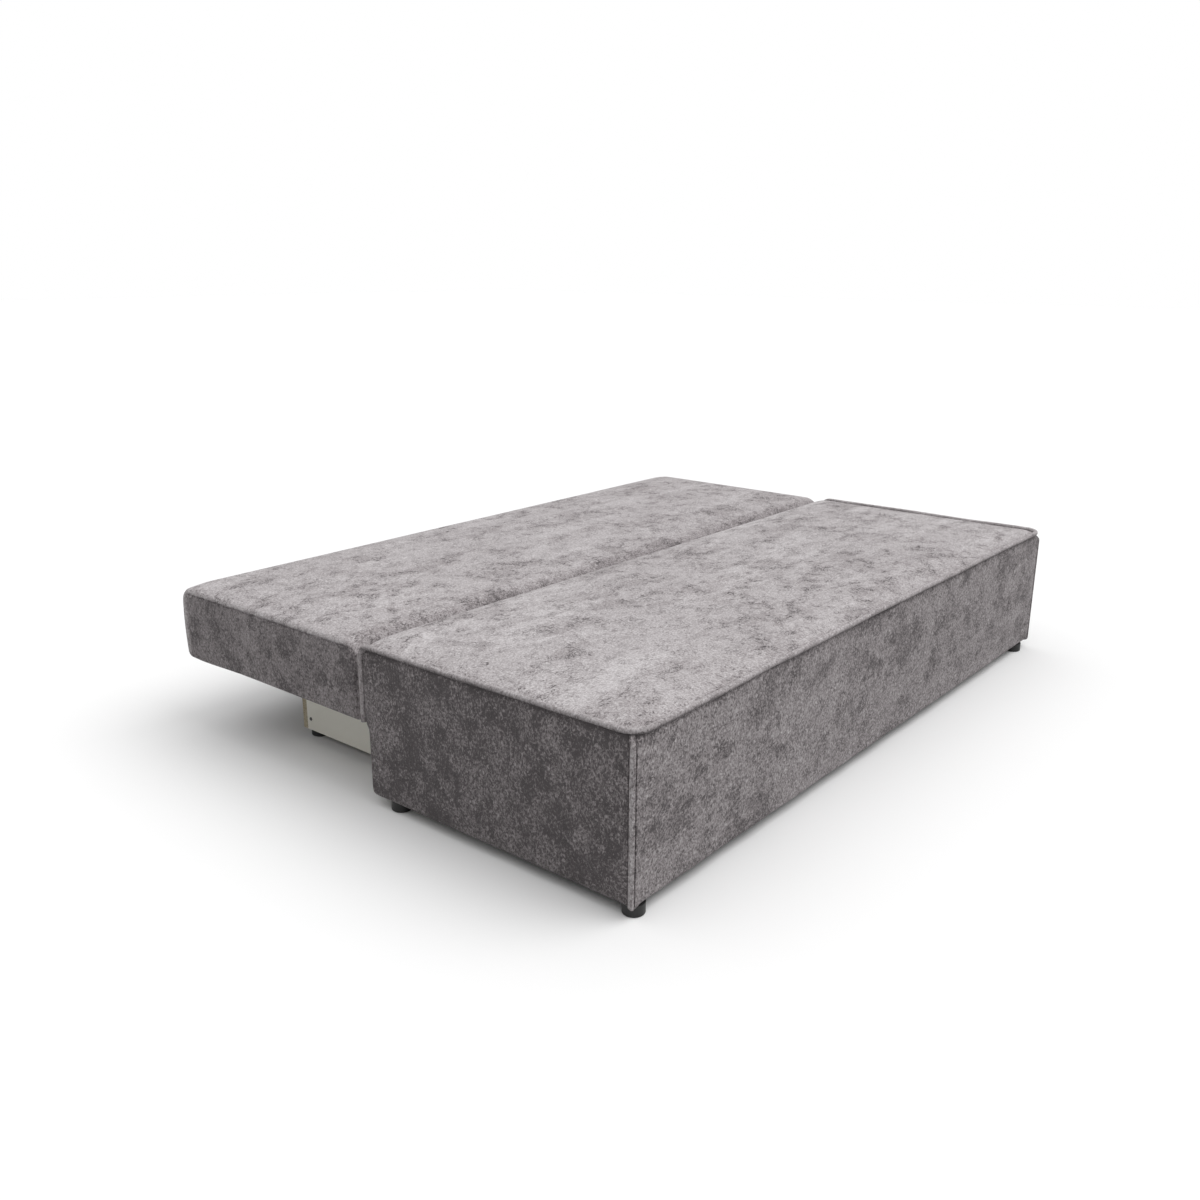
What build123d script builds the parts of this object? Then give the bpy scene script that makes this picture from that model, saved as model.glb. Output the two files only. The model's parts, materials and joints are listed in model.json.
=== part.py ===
"""Armless pull-out sofa bed, shown made up as a bed.

The frame is +Z up, with the floor at z = 0.  The origin is the middle of the footprint, X runs along the
length of the bed and the seat's front faces -Y.  All sizes are in millimetres.

Three assemblies move against each other.  A chipboard base box stands on its own feet.  The seat
straddles the front of the box and slides on rollers along Y.  The back lies flat on the box behind the
seat, and a pair of swing arms raises it to stand behind the seat when the seat is pushed home.
"""

from build123d import *
import math
import os

# ---------------------------------------------------------------- driving dimensions
bed_length = 2000.0
seat_depth = 740.0
back_height = 672.0
crease_gap = 8.0
seat_height = 368.0
back_thickness = 180.0
back_top_drop = 4.0

foot_height = 24.0
foot_radius = 22.5
foot_rim_round = 3.0
foot_inset_left = 30.0
foot_inset_right = 70.0
seat_foot_front_inset = 23.0
seat_foot_rear_inset = 62.0

cover_thickness = 3.0
padding_thickness = 5.0
padding_gap = 0.5
board_thickness = 16.0
rail_thickness = 22.0
rail_height = 70.0
cross_rail_drop = 10.0
webbing_thickness = 2.0
webbing_width = 60.0
webbing_pitch = 150.0

piping_radius = 4.75
piping_gap = 0.5
piping_end_below_deck = 6.3
piping_corner_radius = 14.0
seat_roll_radius = 30.0
end_panel_step = 22.0

base_length = 1728.0
base_depth = 800.0
base_behind_seat = 400.0
inner_board_drop = 30.0
bottom_thickness = 6.0
batten_size = 16.0
block_size = 40.0
block_below_roller_plate = 22.0
base_foot_inset = 34.0
base_foot_rear_inset = 20.0
cap_radius = 4.5
cap_thickness = 1.2
cap_from_rear_board = 14.0
cap_heights = (53.0, 128.0)
felt_thickness = 3.5
rest_gap = 0.5

slide_travel = 190.0
roller_radius = 14.0
roller_width = 16.0
roller_from_front_board = 24.0
roller_below_board_top = 10.0
runner_gap = 0.3
runner_height = 26.0
runner_center = 811.0
axle_radius = 4.0
axle_cap_radius = 7.0
axle_cap_thickness = 2.0
stop_gap = 2.0
stop_thickness = 32.0
stop_width = 22.0
glide_gap = 0.2
glide_width = 12.0

plate_thickness = 3.0
arm_thickness = 5.0
arm_width = 30.0
arm_plate_gap = 2.0
arm_swing = 63.0
base_plate_half_width = 45.0
back_plate_tail = 60.0
pin_radius = 6.0
pin_head_radius = 10.0
pin_head_thickness = 3.0
running_clearance = 0.05
base_pivot_height = 66.0
back_pivot_from_end = 37.0
back_pivot_from_top = 90.0
arm_slot_inner = 826.0
arm_slot_clearance = 4.25
arm_slot_over_pivot = 38.0

back_top_round = 32.0
back_side_round = 26.0
back_bottom_round = 8.0
back_end_inset = 2.0
lining_thickness = 1.5
lining_margin = 46.0
back_frame_height = 80.0

# ---------------------------------------------------------------- derived places
overall_depth = seat_depth + crease_gap + back_height
half_length = bed_length / 2
front_y = -overall_depth / 2
seat_rear_y = front_y + seat_depth
back_near_y = seat_rear_y + crease_gap
back_far_y = overall_depth / 2
back_top_z = seat_height - back_top_drop
back_bottom_z = back_top_z - back_thickness
base_height = back_bottom_z - rest_gap - felt_thickness
inner_board_height = base_height - inner_board_drop

seat_face_inset = 3.0
skin_x = half_length - seat_face_inset
skin_y = front_y + seat_face_inset
skin_bottom = foot_height
side_skin_top = seat_height - 2 * piping_radius - piping_gap
end_rear_y = seat_rear_y - end_panel_step

inner_x = skin_x - cover_thickness
inner_y = skin_y + cover_thickness
board_x = inner_x - padding_thickness
board_y = inner_y + padding_thickness
deck_x = board_x - board_thickness
deck_y = board_y + board_thickness
lining_x = deck_x - cover_thickness
lining_y = deck_y + cover_thickness
board_rear_y = end_rear_y - cover_thickness
deck_rear_y = seat_rear_y - cover_thickness

roller_z = base_height - roller_below_board_top - roller_radius
roller_plate_bottom = roller_z - block_size
corner_block_top = roller_plate_bottom - block_below_roller_plate
runner_bottom = roller_z + roller_radius + runner_gap
deck_bottom = runner_bottom + runner_height
deck_top = deck_bottom + rail_height
foam_bottom = deck_top + webbing_thickness
piping_end_height = deck_bottom - piping_end_below_deck

base_x = base_length / 2
base_rear_y = seat_rear_y + base_behind_seat
base_front_y = base_rear_y - base_depth
base_inner_x = base_x - board_thickness
base_inner_rear_y = base_rear_y - board_thickness
base_inner_front_y = base_front_y + board_thickness
roller_y = base_inner_front_y + roller_from_front_board

plate_inner_x = base_inner_x - plate_thickness
arm_outer_x = plate_inner_x - arm_plate_gap
arm_inner_x = arm_outer_x - arm_thickness
pin_end_x = arm_inner_x - arm_plate_gap

back_pivot_y = back_near_y + back_pivot_from_end
back_pivot_z = back_top_z - back_pivot_from_top
arm_half_swing = math.radians(arm_swing / 2)
arm_rise = back_pivot_z - base_pivot_height
arm_length = arm_rise / math.cos(arm_half_swing)
base_pivot_y = back_pivot_y + arm_length * math.sin(arm_half_swing)
arm_at_back_bottom_y = back_pivot_y + (back_pivot_z - back_bottom_z) * math.tan(arm_half_swing)
arm_slot_far_y = arm_at_back_bottom_y + arm_width / 2 / math.cos(arm_half_swing) + arm_slot_clearance
arm_slot_top = back_pivot_z + arm_slot_over_pivot


# ---------------------------------------------------------------- helpers
def block(x0, x1, y0, y1, z0, z1):
    """A box between two corners, given in any order along X."""
    low_x, high_x = min(x0, x1), max(x0, x1)
    size = (high_x - low_x, y1 - y0, z1 - z0)
    corner = Pos(low_x, y0, z0)
    return corner * Box(*size, align=(Align.MIN, Align.MIN, Align.MIN))


def rod_x(x0, x1, y, z, radius):
    """A round bar along X between two places."""
    low_x, high_x = min(x0, x1), max(x0, x1)
    place = Plane(origin=(low_x, y, z), x_dir=(0, 1, 0), z_dir=(1, 0, 0))
    base = (Align.CENTER, Align.CENTER, Align.MIN)
    return place * Cylinder(radius, high_x - low_x, align=base)


def group(pieces):
    """Several separate solids in one node."""
    solids = []
    for piece in pieces:
        solids.extend(piece.solids())
    return Compound(children=solids)


def joined(pieces):
    """Touching or overlapping solids made one."""
    result = pieces[0]
    for piece in pieces[1:]:
        result = result + piece
    return result


def save(name, shape):
    """Writes one node."""
    shape.label = name
    export_step(shape, os.path.join("parts", name + ".step"))


def rounded_block(half_x, y0, y1, z0, z1, top_round, side_round, bottom_round):
    """An upholstered block: upright corners rounded first, then the top and bottom outlines."""
    solid = block(-half_x, half_x, y0, y1, z0, z1)
    solid = fillet(solid.edges().filter_by(Axis.Z), side_round)
    solid = fillet(solid.faces().sort_by(Axis.Z)[-1].edges(), top_round)
    return fillet(solid.faces().sort_by(Axis.Z)[0].edges(), bottom_round)


def top_rear_edges(solid):
    """The edges along X where the top meets the rear face."""
    return solid.edges().filter_by(Axis.X).group_by(lambda e: round(e.center().Y + e.center().Z, 3))[-1]


def front_corner_edges(solid):
    """The two upright edges at the front."""
    return solid.edges().filter_by(Axis.Z).group_by(lambda e: round(e.center().Y, 3))[0]


def seat_wall(outset, wall, z0, z1, rear_y):
    """The seat's three-sided upright wall, front and both ends; outset is its depth below the skin."""
    outer = block(-skin_x + outset, skin_x - outset, skin_y + outset, rear_y, z0, z1)
    inner_half = skin_x - outset - wall
    hollow = block(-inner_half, inner_half, skin_y + outset + wall, rear_y + 1, z0 - 1, z1 + 1)
    return outer - hollow


def glide_foot(x, y):
    """A turned plastic glide with an eased lower rim."""
    base = (Align.CENTER, Align.CENTER, Align.MIN)
    foot = Pos(x, y, 0) * Cylinder(foot_radius, foot_height, align=base)
    return fillet(foot.edges().sort_by(Axis.Z)[0], foot_rim_round)


def webbing_strips(y0, y1, z, half_span):
    """Elastic webbing laid across a frame from rail to rail."""
    count = int(2 * half_span // webbing_pitch)
    first = -webbing_pitch * (count - 1) / 2
    strips = []
    for index in range(count):
        x = first + index * webbing_pitch
        strips.append(block(x - webbing_width / 2, x + webbing_width / 2, y0, y1, z, z + webbing_thickness))
    return group(strips)


# ---------------------------------------------------------------- base box
def make_base():
    """The box that both other assemblies stand on or slide over."""
    side_names = {-1: "left", 1: "right"}
    for side, word in side_names.items():
        panel = block(side * base_inner_x, side * base_x, base_front_y, base_inner_rear_y,
                      foot_height, base_height)
        save("base_side_panel_" + word, panel)

    save("base_rear_board", block(-base_x, base_x, base_inner_rear_y, base_rear_y, foot_height, base_height))
    save("base_front_board", block(-base_inner_x, base_inner_x, base_front_y, base_inner_front_y,
                                   foot_height, inner_board_height))
    half_board = board_thickness / 2
    save("base_partition", block(-half_board, half_board, base_inner_front_y, base_inner_rear_y,
                                 foot_height, inner_board_height))

    blocks = []
    for side in (-1, 1):
        x0 = side * (base_inner_x - block_size)
        for y0 in (base_inner_front_y, base_inner_rear_y - block_size):
            blocks.append(block(x0, side * base_inner_x, y0, y0 + block_size,
                                foot_height, corner_block_top))
    save("base_corner_blocks", group(blocks))

    bottoms = []
    battens = []
    batten_z = foot_height + bottom_thickness
    for side in (-1, 1):
        sheet = block(side * half_board, side * base_inner_x, base_inner_front_y, base_inner_rear_y,
                      foot_height, batten_z)
        for corner_block in blocks:
            sheet = sheet - corner_block
        bottoms.append(sheet)
        inner = side * half_board
        outer = side * (base_inner_x - block_size)
        battens.append(block(inner, inner + side * batten_size, base_inner_front_y + batten_size,
                             base_inner_rear_y - batten_size, batten_z, batten_z + batten_size))
        battens.append(block(inner, outer, base_inner_front_y, base_inner_front_y + batten_size,
                             batten_z, batten_z + batten_size))
        battens.append(block(inner, outer, base_inner_rear_y - batten_size, base_inner_rear_y,
                             batten_z, batten_z + batten_size))
    save("base_bottom_sheets", group(bottoms))
    save("base_battens", group(battens))

    feet = []
    for y in (base_front_y + base_foot_inset, base_rear_y - base_foot_rear_inset):
        for x in (base_foot_inset - base_x, 0, base_x - base_foot_inset):
            feet.append(glide_foot(x, y))
    save("base_feet", group(feet))

    caps = []
    for side in (-1, 1):
        for y in (base_inner_rear_y - cap_from_rear_board, base_front_y + board_thickness / 2):
            for z in cap_heights:
                caps.append(rod_x(side * base_x, side * (base_x + cap_thickness), y, z, cap_radius))
    save("base_screw_caps", group(caps))

    pad_top = base_height + felt_thickness
    pad_front_y = deck_rear_y + slide_travel + glide_width
    strips = []
    for side in (-1, 1):
        strips.append(block(side * base_inner_x, side * base_x, pad_front_y, base_inner_rear_y,
                            base_height, pad_top))
    save("base_felt_strips", group(strips + [block(-base_x, base_x, base_inner_rear_y, base_rear_y,
                                                   base_height, pad_top)]))


def make_roller_sets():
    """A plate, an axle and a roller inside each side of the box."""
    for side, word in {-1: "left", 1: "right"}.items():
        plate = block(side * plate_inner_x, side * base_inner_x, roller_y - block_size / 2,
                      roller_y + block_size / 2, roller_plate_bottom, roller_z + roller_radius)
        save("roller_plate_" + word, plate)
        inner_face = runner_center - roller_width / 2
        cap_outer = inner_face - runner_gap
        shaft = rod_x(side * plate_inner_x, side * cap_outer, roller_y, roller_z, axle_radius)
        cap = rod_x(side * cap_outer, side * (cap_outer - axle_cap_thickness), roller_y, roller_z,
                    axle_cap_radius)
        save("roller_axle_" + word, shaft + cap)
        wheel = rod_x(side * inner_face, side * (inner_face + roller_width), roller_y, roller_z, roller_radius)
        bore = rod_x(side * (inner_face - 1), side * (inner_face + roller_width + 1), roller_y, roller_z,
                     axle_radius + running_clearance)
        save("roller_" + word, wheel - bore)


# ---------------------------------------------------------------- swing arms
def make_arms():
    """The swing arms with the plates and pins that carry them."""
    for side, word in {-1: "left", 1: "right"}.items():
        # The pin of each pivot is welded to its plate and carries the arm between plate and head.
        plate = block(side * plate_inner_x, side * base_inner_x, base_pivot_y - base_plate_half_width,
                      base_pivot_y + base_plate_half_width, foot_height + bottom_thickness + batten_size,
                      inner_board_height)
        save("base_hinge_plate_" + word, plate)
        back_plate = block(side * plate_inner_x, side * base_inner_x,
                           back_pivot_y - arm_width / 2, back_pivot_y + back_plate_tail,
                           back_bottom_z + arm_width / 2, back_pivot_z + arm_width / 2)
        save("back_hinge_plate_" + word, back_plate)

        for name, y, z in (("base", base_pivot_y, base_pivot_height), ("back", back_pivot_y, back_pivot_z)):
            shaft = rod_x(side * plate_inner_x, side * pin_end_x, y, z, pin_radius)
            head = rod_x(side * pin_end_x, side * (pin_end_x - pin_head_thickness), y, z, pin_head_radius)
            save(name + "_pivot_pin_" + word, shaft + head)

        ends = []
        bores = []
        for y, z in ((base_pivot_y, base_pivot_height), (back_pivot_y, back_pivot_z)):
            ends.append(rod_x(side * arm_inner_x, side * arm_outer_x, y, z, arm_width / 2))
            bores.append(rod_x(side * (arm_inner_x - 1), side * (arm_outer_x + 1), y, z,
                               pin_radius + running_clearance))
        middle_y = (base_pivot_y + back_pivot_y) / 2
        middle_z = (base_pivot_height + back_pivot_z) / 2
        lean = math.degrees(arm_half_swing)
        bar = Box(arm_thickness, arm_width, arm_length)
        bar = Pos(side * (arm_inner_x + arm_thickness / 2), middle_y, middle_z) * Rot(lean, 0, 0) * bar
        save("swing_arm_" + word, joined([bar] + ends) - bores[0] - bores[1])


# ---------------------------------------------------------------- seat
def make_seat_frame():
    """The seat's boards, rails, runners, webbing, stops and feet."""
    save("seat_front_board", block(-board_x, board_x, board_y, deck_y, skin_bottom + cover_thickness, deck_top))
    for side, word in {-1: "left", 1: "right"}.items():
        save("seat_end_board_" + word, block(side * deck_x, side * board_x, deck_y, board_rear_y,
                                             skin_bottom + cover_thickness, deck_top))
        rail_inner = side * (deck_x - rail_thickness)
        save("seat_side_rail_" + word, block(rail_inner, side * deck_x, deck_y + rail_thickness,
                                             board_rear_y, deck_bottom, deck_top))
        runner_x = side * (runner_center - rail_thickness / 2)
        runner_outer = side * (runner_center + rail_thickness / 2)
        save("seat_runner_" + word, block(runner_x, runner_outer, deck_y + rail_thickness, board_rear_y,
                                          runner_bottom, deck_bottom))
    save("seat_front_rail", block(-deck_x, deck_x, deck_y, deck_y + rail_thickness, deck_bottom, deck_top))
    save("seat_rear_rail", block(-board_x, board_x, board_rear_y, deck_rear_y, deck_bottom, deck_top))

    rails = []
    for x in (-runner_center, -runner_center / 2, 0, runner_center / 2, runner_center):
        rails.append(block(x - rail_thickness / 2, x + rail_thickness / 2, deck_y + rail_thickness,
                           board_rear_y, deck_bottom, deck_top - cross_rail_drop))
    save("seat_cross_rails", group(rails))

    stops = []
    glides = []
    for side in (-1, 1):
        stop_outer = runner_center - rail_thickness / 2
        stop_y = base_inner_front_y + stop_gap
        stops.append(block(side * (stop_outer - stop_width), side * stop_outer, stop_y,
                           stop_y + stop_thickness, inner_board_height - 2 * stop_thickness, deck_bottom))
        glide_x = (base_inner_x + base_x) / 2
        glides.append(block(side * (glide_x - glide_width / 2), side * (glide_x + glide_width / 2),
                            board_rear_y, deck_rear_y, base_height + glide_gap, deck_bottom))
    save("seat_stop_blocks", group(stops))
    save("seat_rear_glides", group(glides))

    save("seat_webbing", webbing_strips(board_y, deck_rear_y, deck_top, board_x))

    feet = []
    front_foot_y = front_y + seat_foot_front_inset
    rear_foot_y = end_rear_y - seat_foot_rear_inset
    for x in (foot_inset_left - half_length, half_length - foot_inset_right):
        for y in (front_foot_y, rear_foot_y):
            feet.append(glide_foot(x, y))
    save("seat_feet", group(feet))


def make_seat_upholstery():
    """The seat's foam, padding, covers and welt cord."""
    foam = block(-board_x, board_x, board_y, deck_rear_y, foam_bottom, seat_height - cover_thickness)
    foam = fillet(top_rear_edges(foam), seat_roll_radius - cover_thickness)
    inner_corner = piping_corner_radius - piping_radius - piping_gap
    save("seat_foam", fillet(front_corner_edges(foam), inner_corner))

    # One strip of padding is glued to the front board and one to each end board.
    padding_bottom = skin_bottom + cover_thickness
    padding_top = side_skin_top - padding_thickness
    strips = [block(-inner_x, inner_x, inner_y, board_y, padding_bottom, padding_top)]
    for side in (-1, 1):
        strips.append(block(side * board_x, side * inner_x, board_y + padding_gap,
                            board_rear_y - padding_thickness, padding_bottom, padding_top))
    save("seat_wall_padding", group(strips))

    # Outer skin, lining of the walls' inner faces, bottom hem and the returns at the rear.
    total_wall = skin_x - lining_x
    skin = seat_wall(0, cover_thickness, skin_bottom, side_skin_top, end_rear_y)
    lining = seat_wall(total_wall - cover_thickness, cover_thickness, skin_bottom, runner_bottom, end_rear_y)
    hem = seat_wall(0, total_wall, skin_bottom, skin_bottom + cover_thickness, end_rear_y)
    returns = []
    for side in (-1, 1):
        returns.append(block(side * lining_x, side * skin_x, board_rear_y, end_rear_y,
                             skin_bottom, runner_bottom))
        returns.append(block(side * inner_x, side * skin_x, end_rear_y - 1,
                             seat_rear_y - 2 * piping_radius - piping_gap, piping_end_height, side_skin_top))
    wall_cover = joined([skin, lining, hem] + returns)
    # The rear top corner follows the inside of the welt's bend.
    bend_radius = seat_roll_radius - piping_radius - piping_gap
    save("seat_wall_cover", fillet(top_rear_edges(wall_cover), bend_radius))

    top_half = half_length - 2 * piping_radius - piping_gap
    top_front = front_y + 2 * piping_radius + piping_gap
    outer = block(-top_half, top_half, top_front, seat_rear_y, piping_end_height, seat_height)
    outer = fillet(top_rear_edges(outer), seat_roll_radius)
    outer = fillet(front_corner_edges(outer), inner_corner)
    inner = block(-top_half - 1, top_half + 1, top_front - 1, deck_rear_y, piping_end_height - 1,
                  seat_height - cover_thickness)
    inner = fillet(top_rear_edges(inner), seat_roll_radius - cover_thickness)
    save("seat_top_cover", outer - inner)

    # Welt cord: up one rear corner, along an end, the front and the other end, and down again.
    cord_x = half_length - piping_radius
    cord_front = front_y + piping_radius
    cord_rear = seat_rear_y - piping_radius
    cord_z = seat_height - piping_radius
    points = [(-cord_x, cord_rear, piping_end_height), (-cord_x, cord_rear, cord_z),
              (-cord_x, cord_front, cord_z), (cord_x, cord_front, cord_z),
              (cord_x, cord_rear, cord_z), (cord_x, cord_rear, piping_end_height)]
    radii = [seat_roll_radius, piping_corner_radius, piping_corner_radius, seat_roll_radius]
    path = FilletPolyline(*points, radius=radii)
    section = Plane(origin=points[0], z_dir=(0, 0, 1)) * Circle(piping_radius)
    save("seat_piping", sweep(section, path=path))


# ---------------------------------------------------------------- back
def arm_slots():
    """The pockets in the back that the swing arms turn in, open at its underside and near end."""
    slots = []
    for side in (-1, 1):
        slots.append(block(side * arm_slot_inner, side * base_inner_x, back_near_y - 1,
                           arm_slot_far_y, back_bottom_z - 1, arm_slot_top))
    return slots


def without_slots(shape):
    """The shape with both arm pockets cut away."""
    for slot in arm_slots():
        shape = shape - slot
    return shape


def make_back():
    """The back's timber frame, webbing, foam, padding, cover and lining."""
    skin_half = half_length - back_end_inset
    outer = rounded_block(skin_half, back_near_y, back_far_y, back_bottom_z, back_top_z,
                          back_top_round, back_side_round, back_bottom_round)
    wall = cover_thickness
    filling = rounded_block(skin_half - wall, back_near_y + wall, back_far_y - wall, back_bottom_z + wall,
                            back_top_z - wall, back_top_round - wall, back_side_round - wall,
                            back_bottom_round - wall)
    window = block(-skin_half + lining_margin, skin_half - lining_margin, back_near_y + lining_margin,
                   back_far_y - lining_margin, back_bottom_z - 1, back_bottom_z + wall + 1)
    save("back_cover", without_slots(outer - filling - window))
    lining = block(-skin_half + lining_margin, skin_half - lining_margin, back_near_y + lining_margin,
                   back_far_y - lining_margin, back_bottom_z + wall - lining_thickness, back_bottom_z + wall)
    save("back_lining", without_slots(lining))

    frame_bottom = back_bottom_z + wall
    frame_top = frame_bottom + back_frame_height
    inset = wall + padding_thickness
    frame_half = skin_half - inset
    near = back_near_y + inset
    far = back_far_y - inset
    # The rails' outer corners follow the rounded corners of the cover.
    corner = back_side_round - inset
    lower_rail = block(-frame_half, frame_half, near, near + rail_thickness, frame_bottom, frame_top)
    lower_rail = fillet(lower_rail.edges().filter_by(Axis.Z).group_by(Axis.Y)[0], corner)
    save("back_lower_rail", without_slots(lower_rail))
    upper_rail = block(-frame_half, frame_half, far - rail_thickness, far, frame_bottom, frame_top)
    save("back_upper_rail", fillet(upper_rail.edges().filter_by(Axis.Z).group_by(Axis.Y)[-1], corner))

    stile_near = near + rail_thickness
    stile_far = far - rail_thickness
    for side, word in {-1: "left", 1: "right"}.items():
        save("back_end_stile_" + word, block(side * (frame_half - rail_thickness), side * frame_half,
                                             stile_near, stile_far, frame_bottom, frame_top))
        save("back_hinge_stile_" + word, block(side * base_inner_x, side * (base_inner_x + rail_thickness),
                                               stile_near, stile_far, frame_bottom, frame_top))
        save("back_slot_stile_" + word, block(side * (arm_slot_inner - rail_thickness),
                                              side * arm_slot_inner, stile_near, stile_far,
                                              frame_bottom, frame_top))
    stiles = []
    for x in (-runner_center / 2, 0, runner_center / 2):
        stiles.append(block(x - rail_thickness / 2, x + rail_thickness / 2, stile_near, stile_far,
                            frame_bottom, frame_top - cross_rail_drop))
    save("back_middle_stiles", group(stiles))

    save("back_webbing", without_slots(webbing_strips(near, far, frame_top, arm_slot_inner - rail_thickness)))

    foam_base = frame_top + webbing_thickness
    below = block(-bed_length, bed_length, back_near_y, back_far_y, back_bottom_z, foam_base)
    save("back_foam", without_slots(filling - below))

    ring = filling & block(-bed_length, bed_length, back_near_y, back_far_y, frame_bottom, foam_base)
    core = block(-frame_half, frame_half, near, far, frame_bottom - 1, foam_base + 1)
    save("back_edge_padding", without_slots(ring - core))


def main():
    os.makedirs("parts", exist_ok=True)
    make_base()
    make_roller_sets()
    make_arms()
    make_seat_frame()
    make_seat_upholstery()
    make_back()
    print("arm length", round(arm_length, 2), "base pivot y", round(base_pivot_y, 2))


main()
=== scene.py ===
# %% [markdown]
# # An armless pull-out sofa bed, made up as a bed
# The bed is three big pieces: a piped seat, a plain back slab lying flat behind it, and a low board box under both.
# The frame file holds every hard part at its true place, so this lesson makes the soft goods and the finishes.
# Lengths are in metres.  X runs along the bed, the seat's front faces -Y, and the floor is z = 0.

# %% Load the frame
import json
import math
import bmesh
import bpy
import numpy as np
from mathutils import Matrix, Vector


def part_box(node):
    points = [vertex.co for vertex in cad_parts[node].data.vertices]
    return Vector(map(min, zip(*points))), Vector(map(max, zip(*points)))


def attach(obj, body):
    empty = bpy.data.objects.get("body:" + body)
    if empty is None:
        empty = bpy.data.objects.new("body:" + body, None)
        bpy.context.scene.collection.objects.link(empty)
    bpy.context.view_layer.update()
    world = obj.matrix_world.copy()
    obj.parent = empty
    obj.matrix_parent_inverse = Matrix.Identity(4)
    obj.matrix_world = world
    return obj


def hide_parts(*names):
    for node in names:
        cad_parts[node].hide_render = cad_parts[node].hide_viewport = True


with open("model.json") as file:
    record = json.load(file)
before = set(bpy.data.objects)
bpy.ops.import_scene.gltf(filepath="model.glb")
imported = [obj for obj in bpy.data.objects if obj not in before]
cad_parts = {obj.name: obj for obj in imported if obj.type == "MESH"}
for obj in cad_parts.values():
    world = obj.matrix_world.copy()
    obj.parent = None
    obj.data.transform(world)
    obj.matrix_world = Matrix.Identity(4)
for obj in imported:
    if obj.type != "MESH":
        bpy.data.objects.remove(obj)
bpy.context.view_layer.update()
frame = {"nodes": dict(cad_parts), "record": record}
nodes = frame["nodes"]

# %% [markdown]
# ## The camera and the studio
# The bed is seen from a standing person's chest height, past its near front corner.
# A camera is a point, a heading and a tilt: the three axes below are worked out from those angles, so that the view
# can be read as "50.75 degrees to the right of +Y, 16.7 degrees down".

# %% Camera
def aim_camera(place, heading, tilt, roll, focal_share):
    """Axes: forward from heading and tilt; right is level; up is right cross forward; then both turn by roll."""
    camera_data = bpy.data.cameras.new("camera")
    camera_data.lens = camera_data.sensor_width * focal_share
    camera = bpy.data.objects.new("camera", camera_data)
    bpy.context.scene.collection.objects.link(camera)
    forward = Vector((math.sin(heading) * math.cos(tilt), math.cos(heading) * math.cos(tilt), -math.sin(tilt)))
    level = Vector((math.cos(heading), -math.sin(heading), 0.0))
    above = level.cross(forward)
    right = level * math.cos(roll) + above * math.sin(roll)
    up = above * math.cos(roll) - level * math.sin(roll)
    turn = Matrix((right, up, -forward)).transposed()
    camera.matrix_world = Matrix.Translation(place) @ turn.to_4x4()
    bpy.context.scene.camera = camera
    return camera


camera_heading, camera_tilt, camera_roll = np.radians([50.75, 16.72, 0.31])
camera = aim_camera((-2.418, -1.787, 1.140), camera_heading, camera_tilt, camera_roll, focal_share=0.9436)
print("camera at", tuple(round(v, 3) for v in camera.location))

# %% Colour handling
scene = bpy.context.scene
scene.view_settings.view_transform = "Standard"
scene.view_settings.look = "None"

# %% Node helpers
def add_node(tree, kind, **settings):
    """A node with its input sockets set by name or number and its other properties by attribute."""
    node = tree.nodes.new(kind)
    for key, value in settings.pop("inputs", {}).items():
        node.inputs[key].default_value = value
    for key, value in settings.items():
        setattr(node, key, value)
    return node


def add_ramp(tree, factor, stops):
    """A colour ramp; stops are (position, grey or colour)."""
    node = tree.nodes.new("ShaderNodeValToRGB")
    tree.links.new(factor, node.inputs["Fac"])
    ramp = node.color_ramp
    while len(ramp.elements) < len(stops):
        ramp.elements.new(0.5)
    for element, (position, value) in zip(ramp.elements, stops):
        element.position = position
        colour = value if hasattr(value, "__len__") else (value, value, value)
        element.color = (*colour, 1.0)
    return node.outputs["Color"]


def calculate(tree, operation, a, b=None, c=None):
    """A Math node; a, b and c are sockets or numbers."""
    node = add_node(tree, "ShaderNodeMath", operation=operation)
    for socket, value in zip(node.inputs, (a, b, c)):
        if hasattr(value, "is_linked"):
            tree.links.new(value, socket)
        elif value is not None:
            socket.default_value = value
    return node.outputs[0]


def blend_colours(tree, factor, a, b, blend_type="MIX"):
    """A colour Mix node; a and b are sockets or colours."""
    node = add_node(tree, "ShaderNodeMix", data_type="RGBA", blend_type=blend_type)
    for socket, value in ((node.inputs[0], factor), (node.inputs[6], a), (node.inputs[7], b)):
        if hasattr(value, "is_linked"):
            tree.links.new(value, socket)
        elif hasattr(value, "__len__"):
            socket.default_value = (*value[:3], 1.0)
        else:
            socket.default_value = value
    return node.outputs[2]


# %% World light
# Brightness by direction, from straight down at 0, through the horizon at 0.5, to straight up at 1.
sky_glow = [(0.0, 0.0), (0.50, 0.42), (0.78, 1.0), (1.0, 1.0)]
overhead_strength = 1.20
white_in_gloss = 0.7


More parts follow.
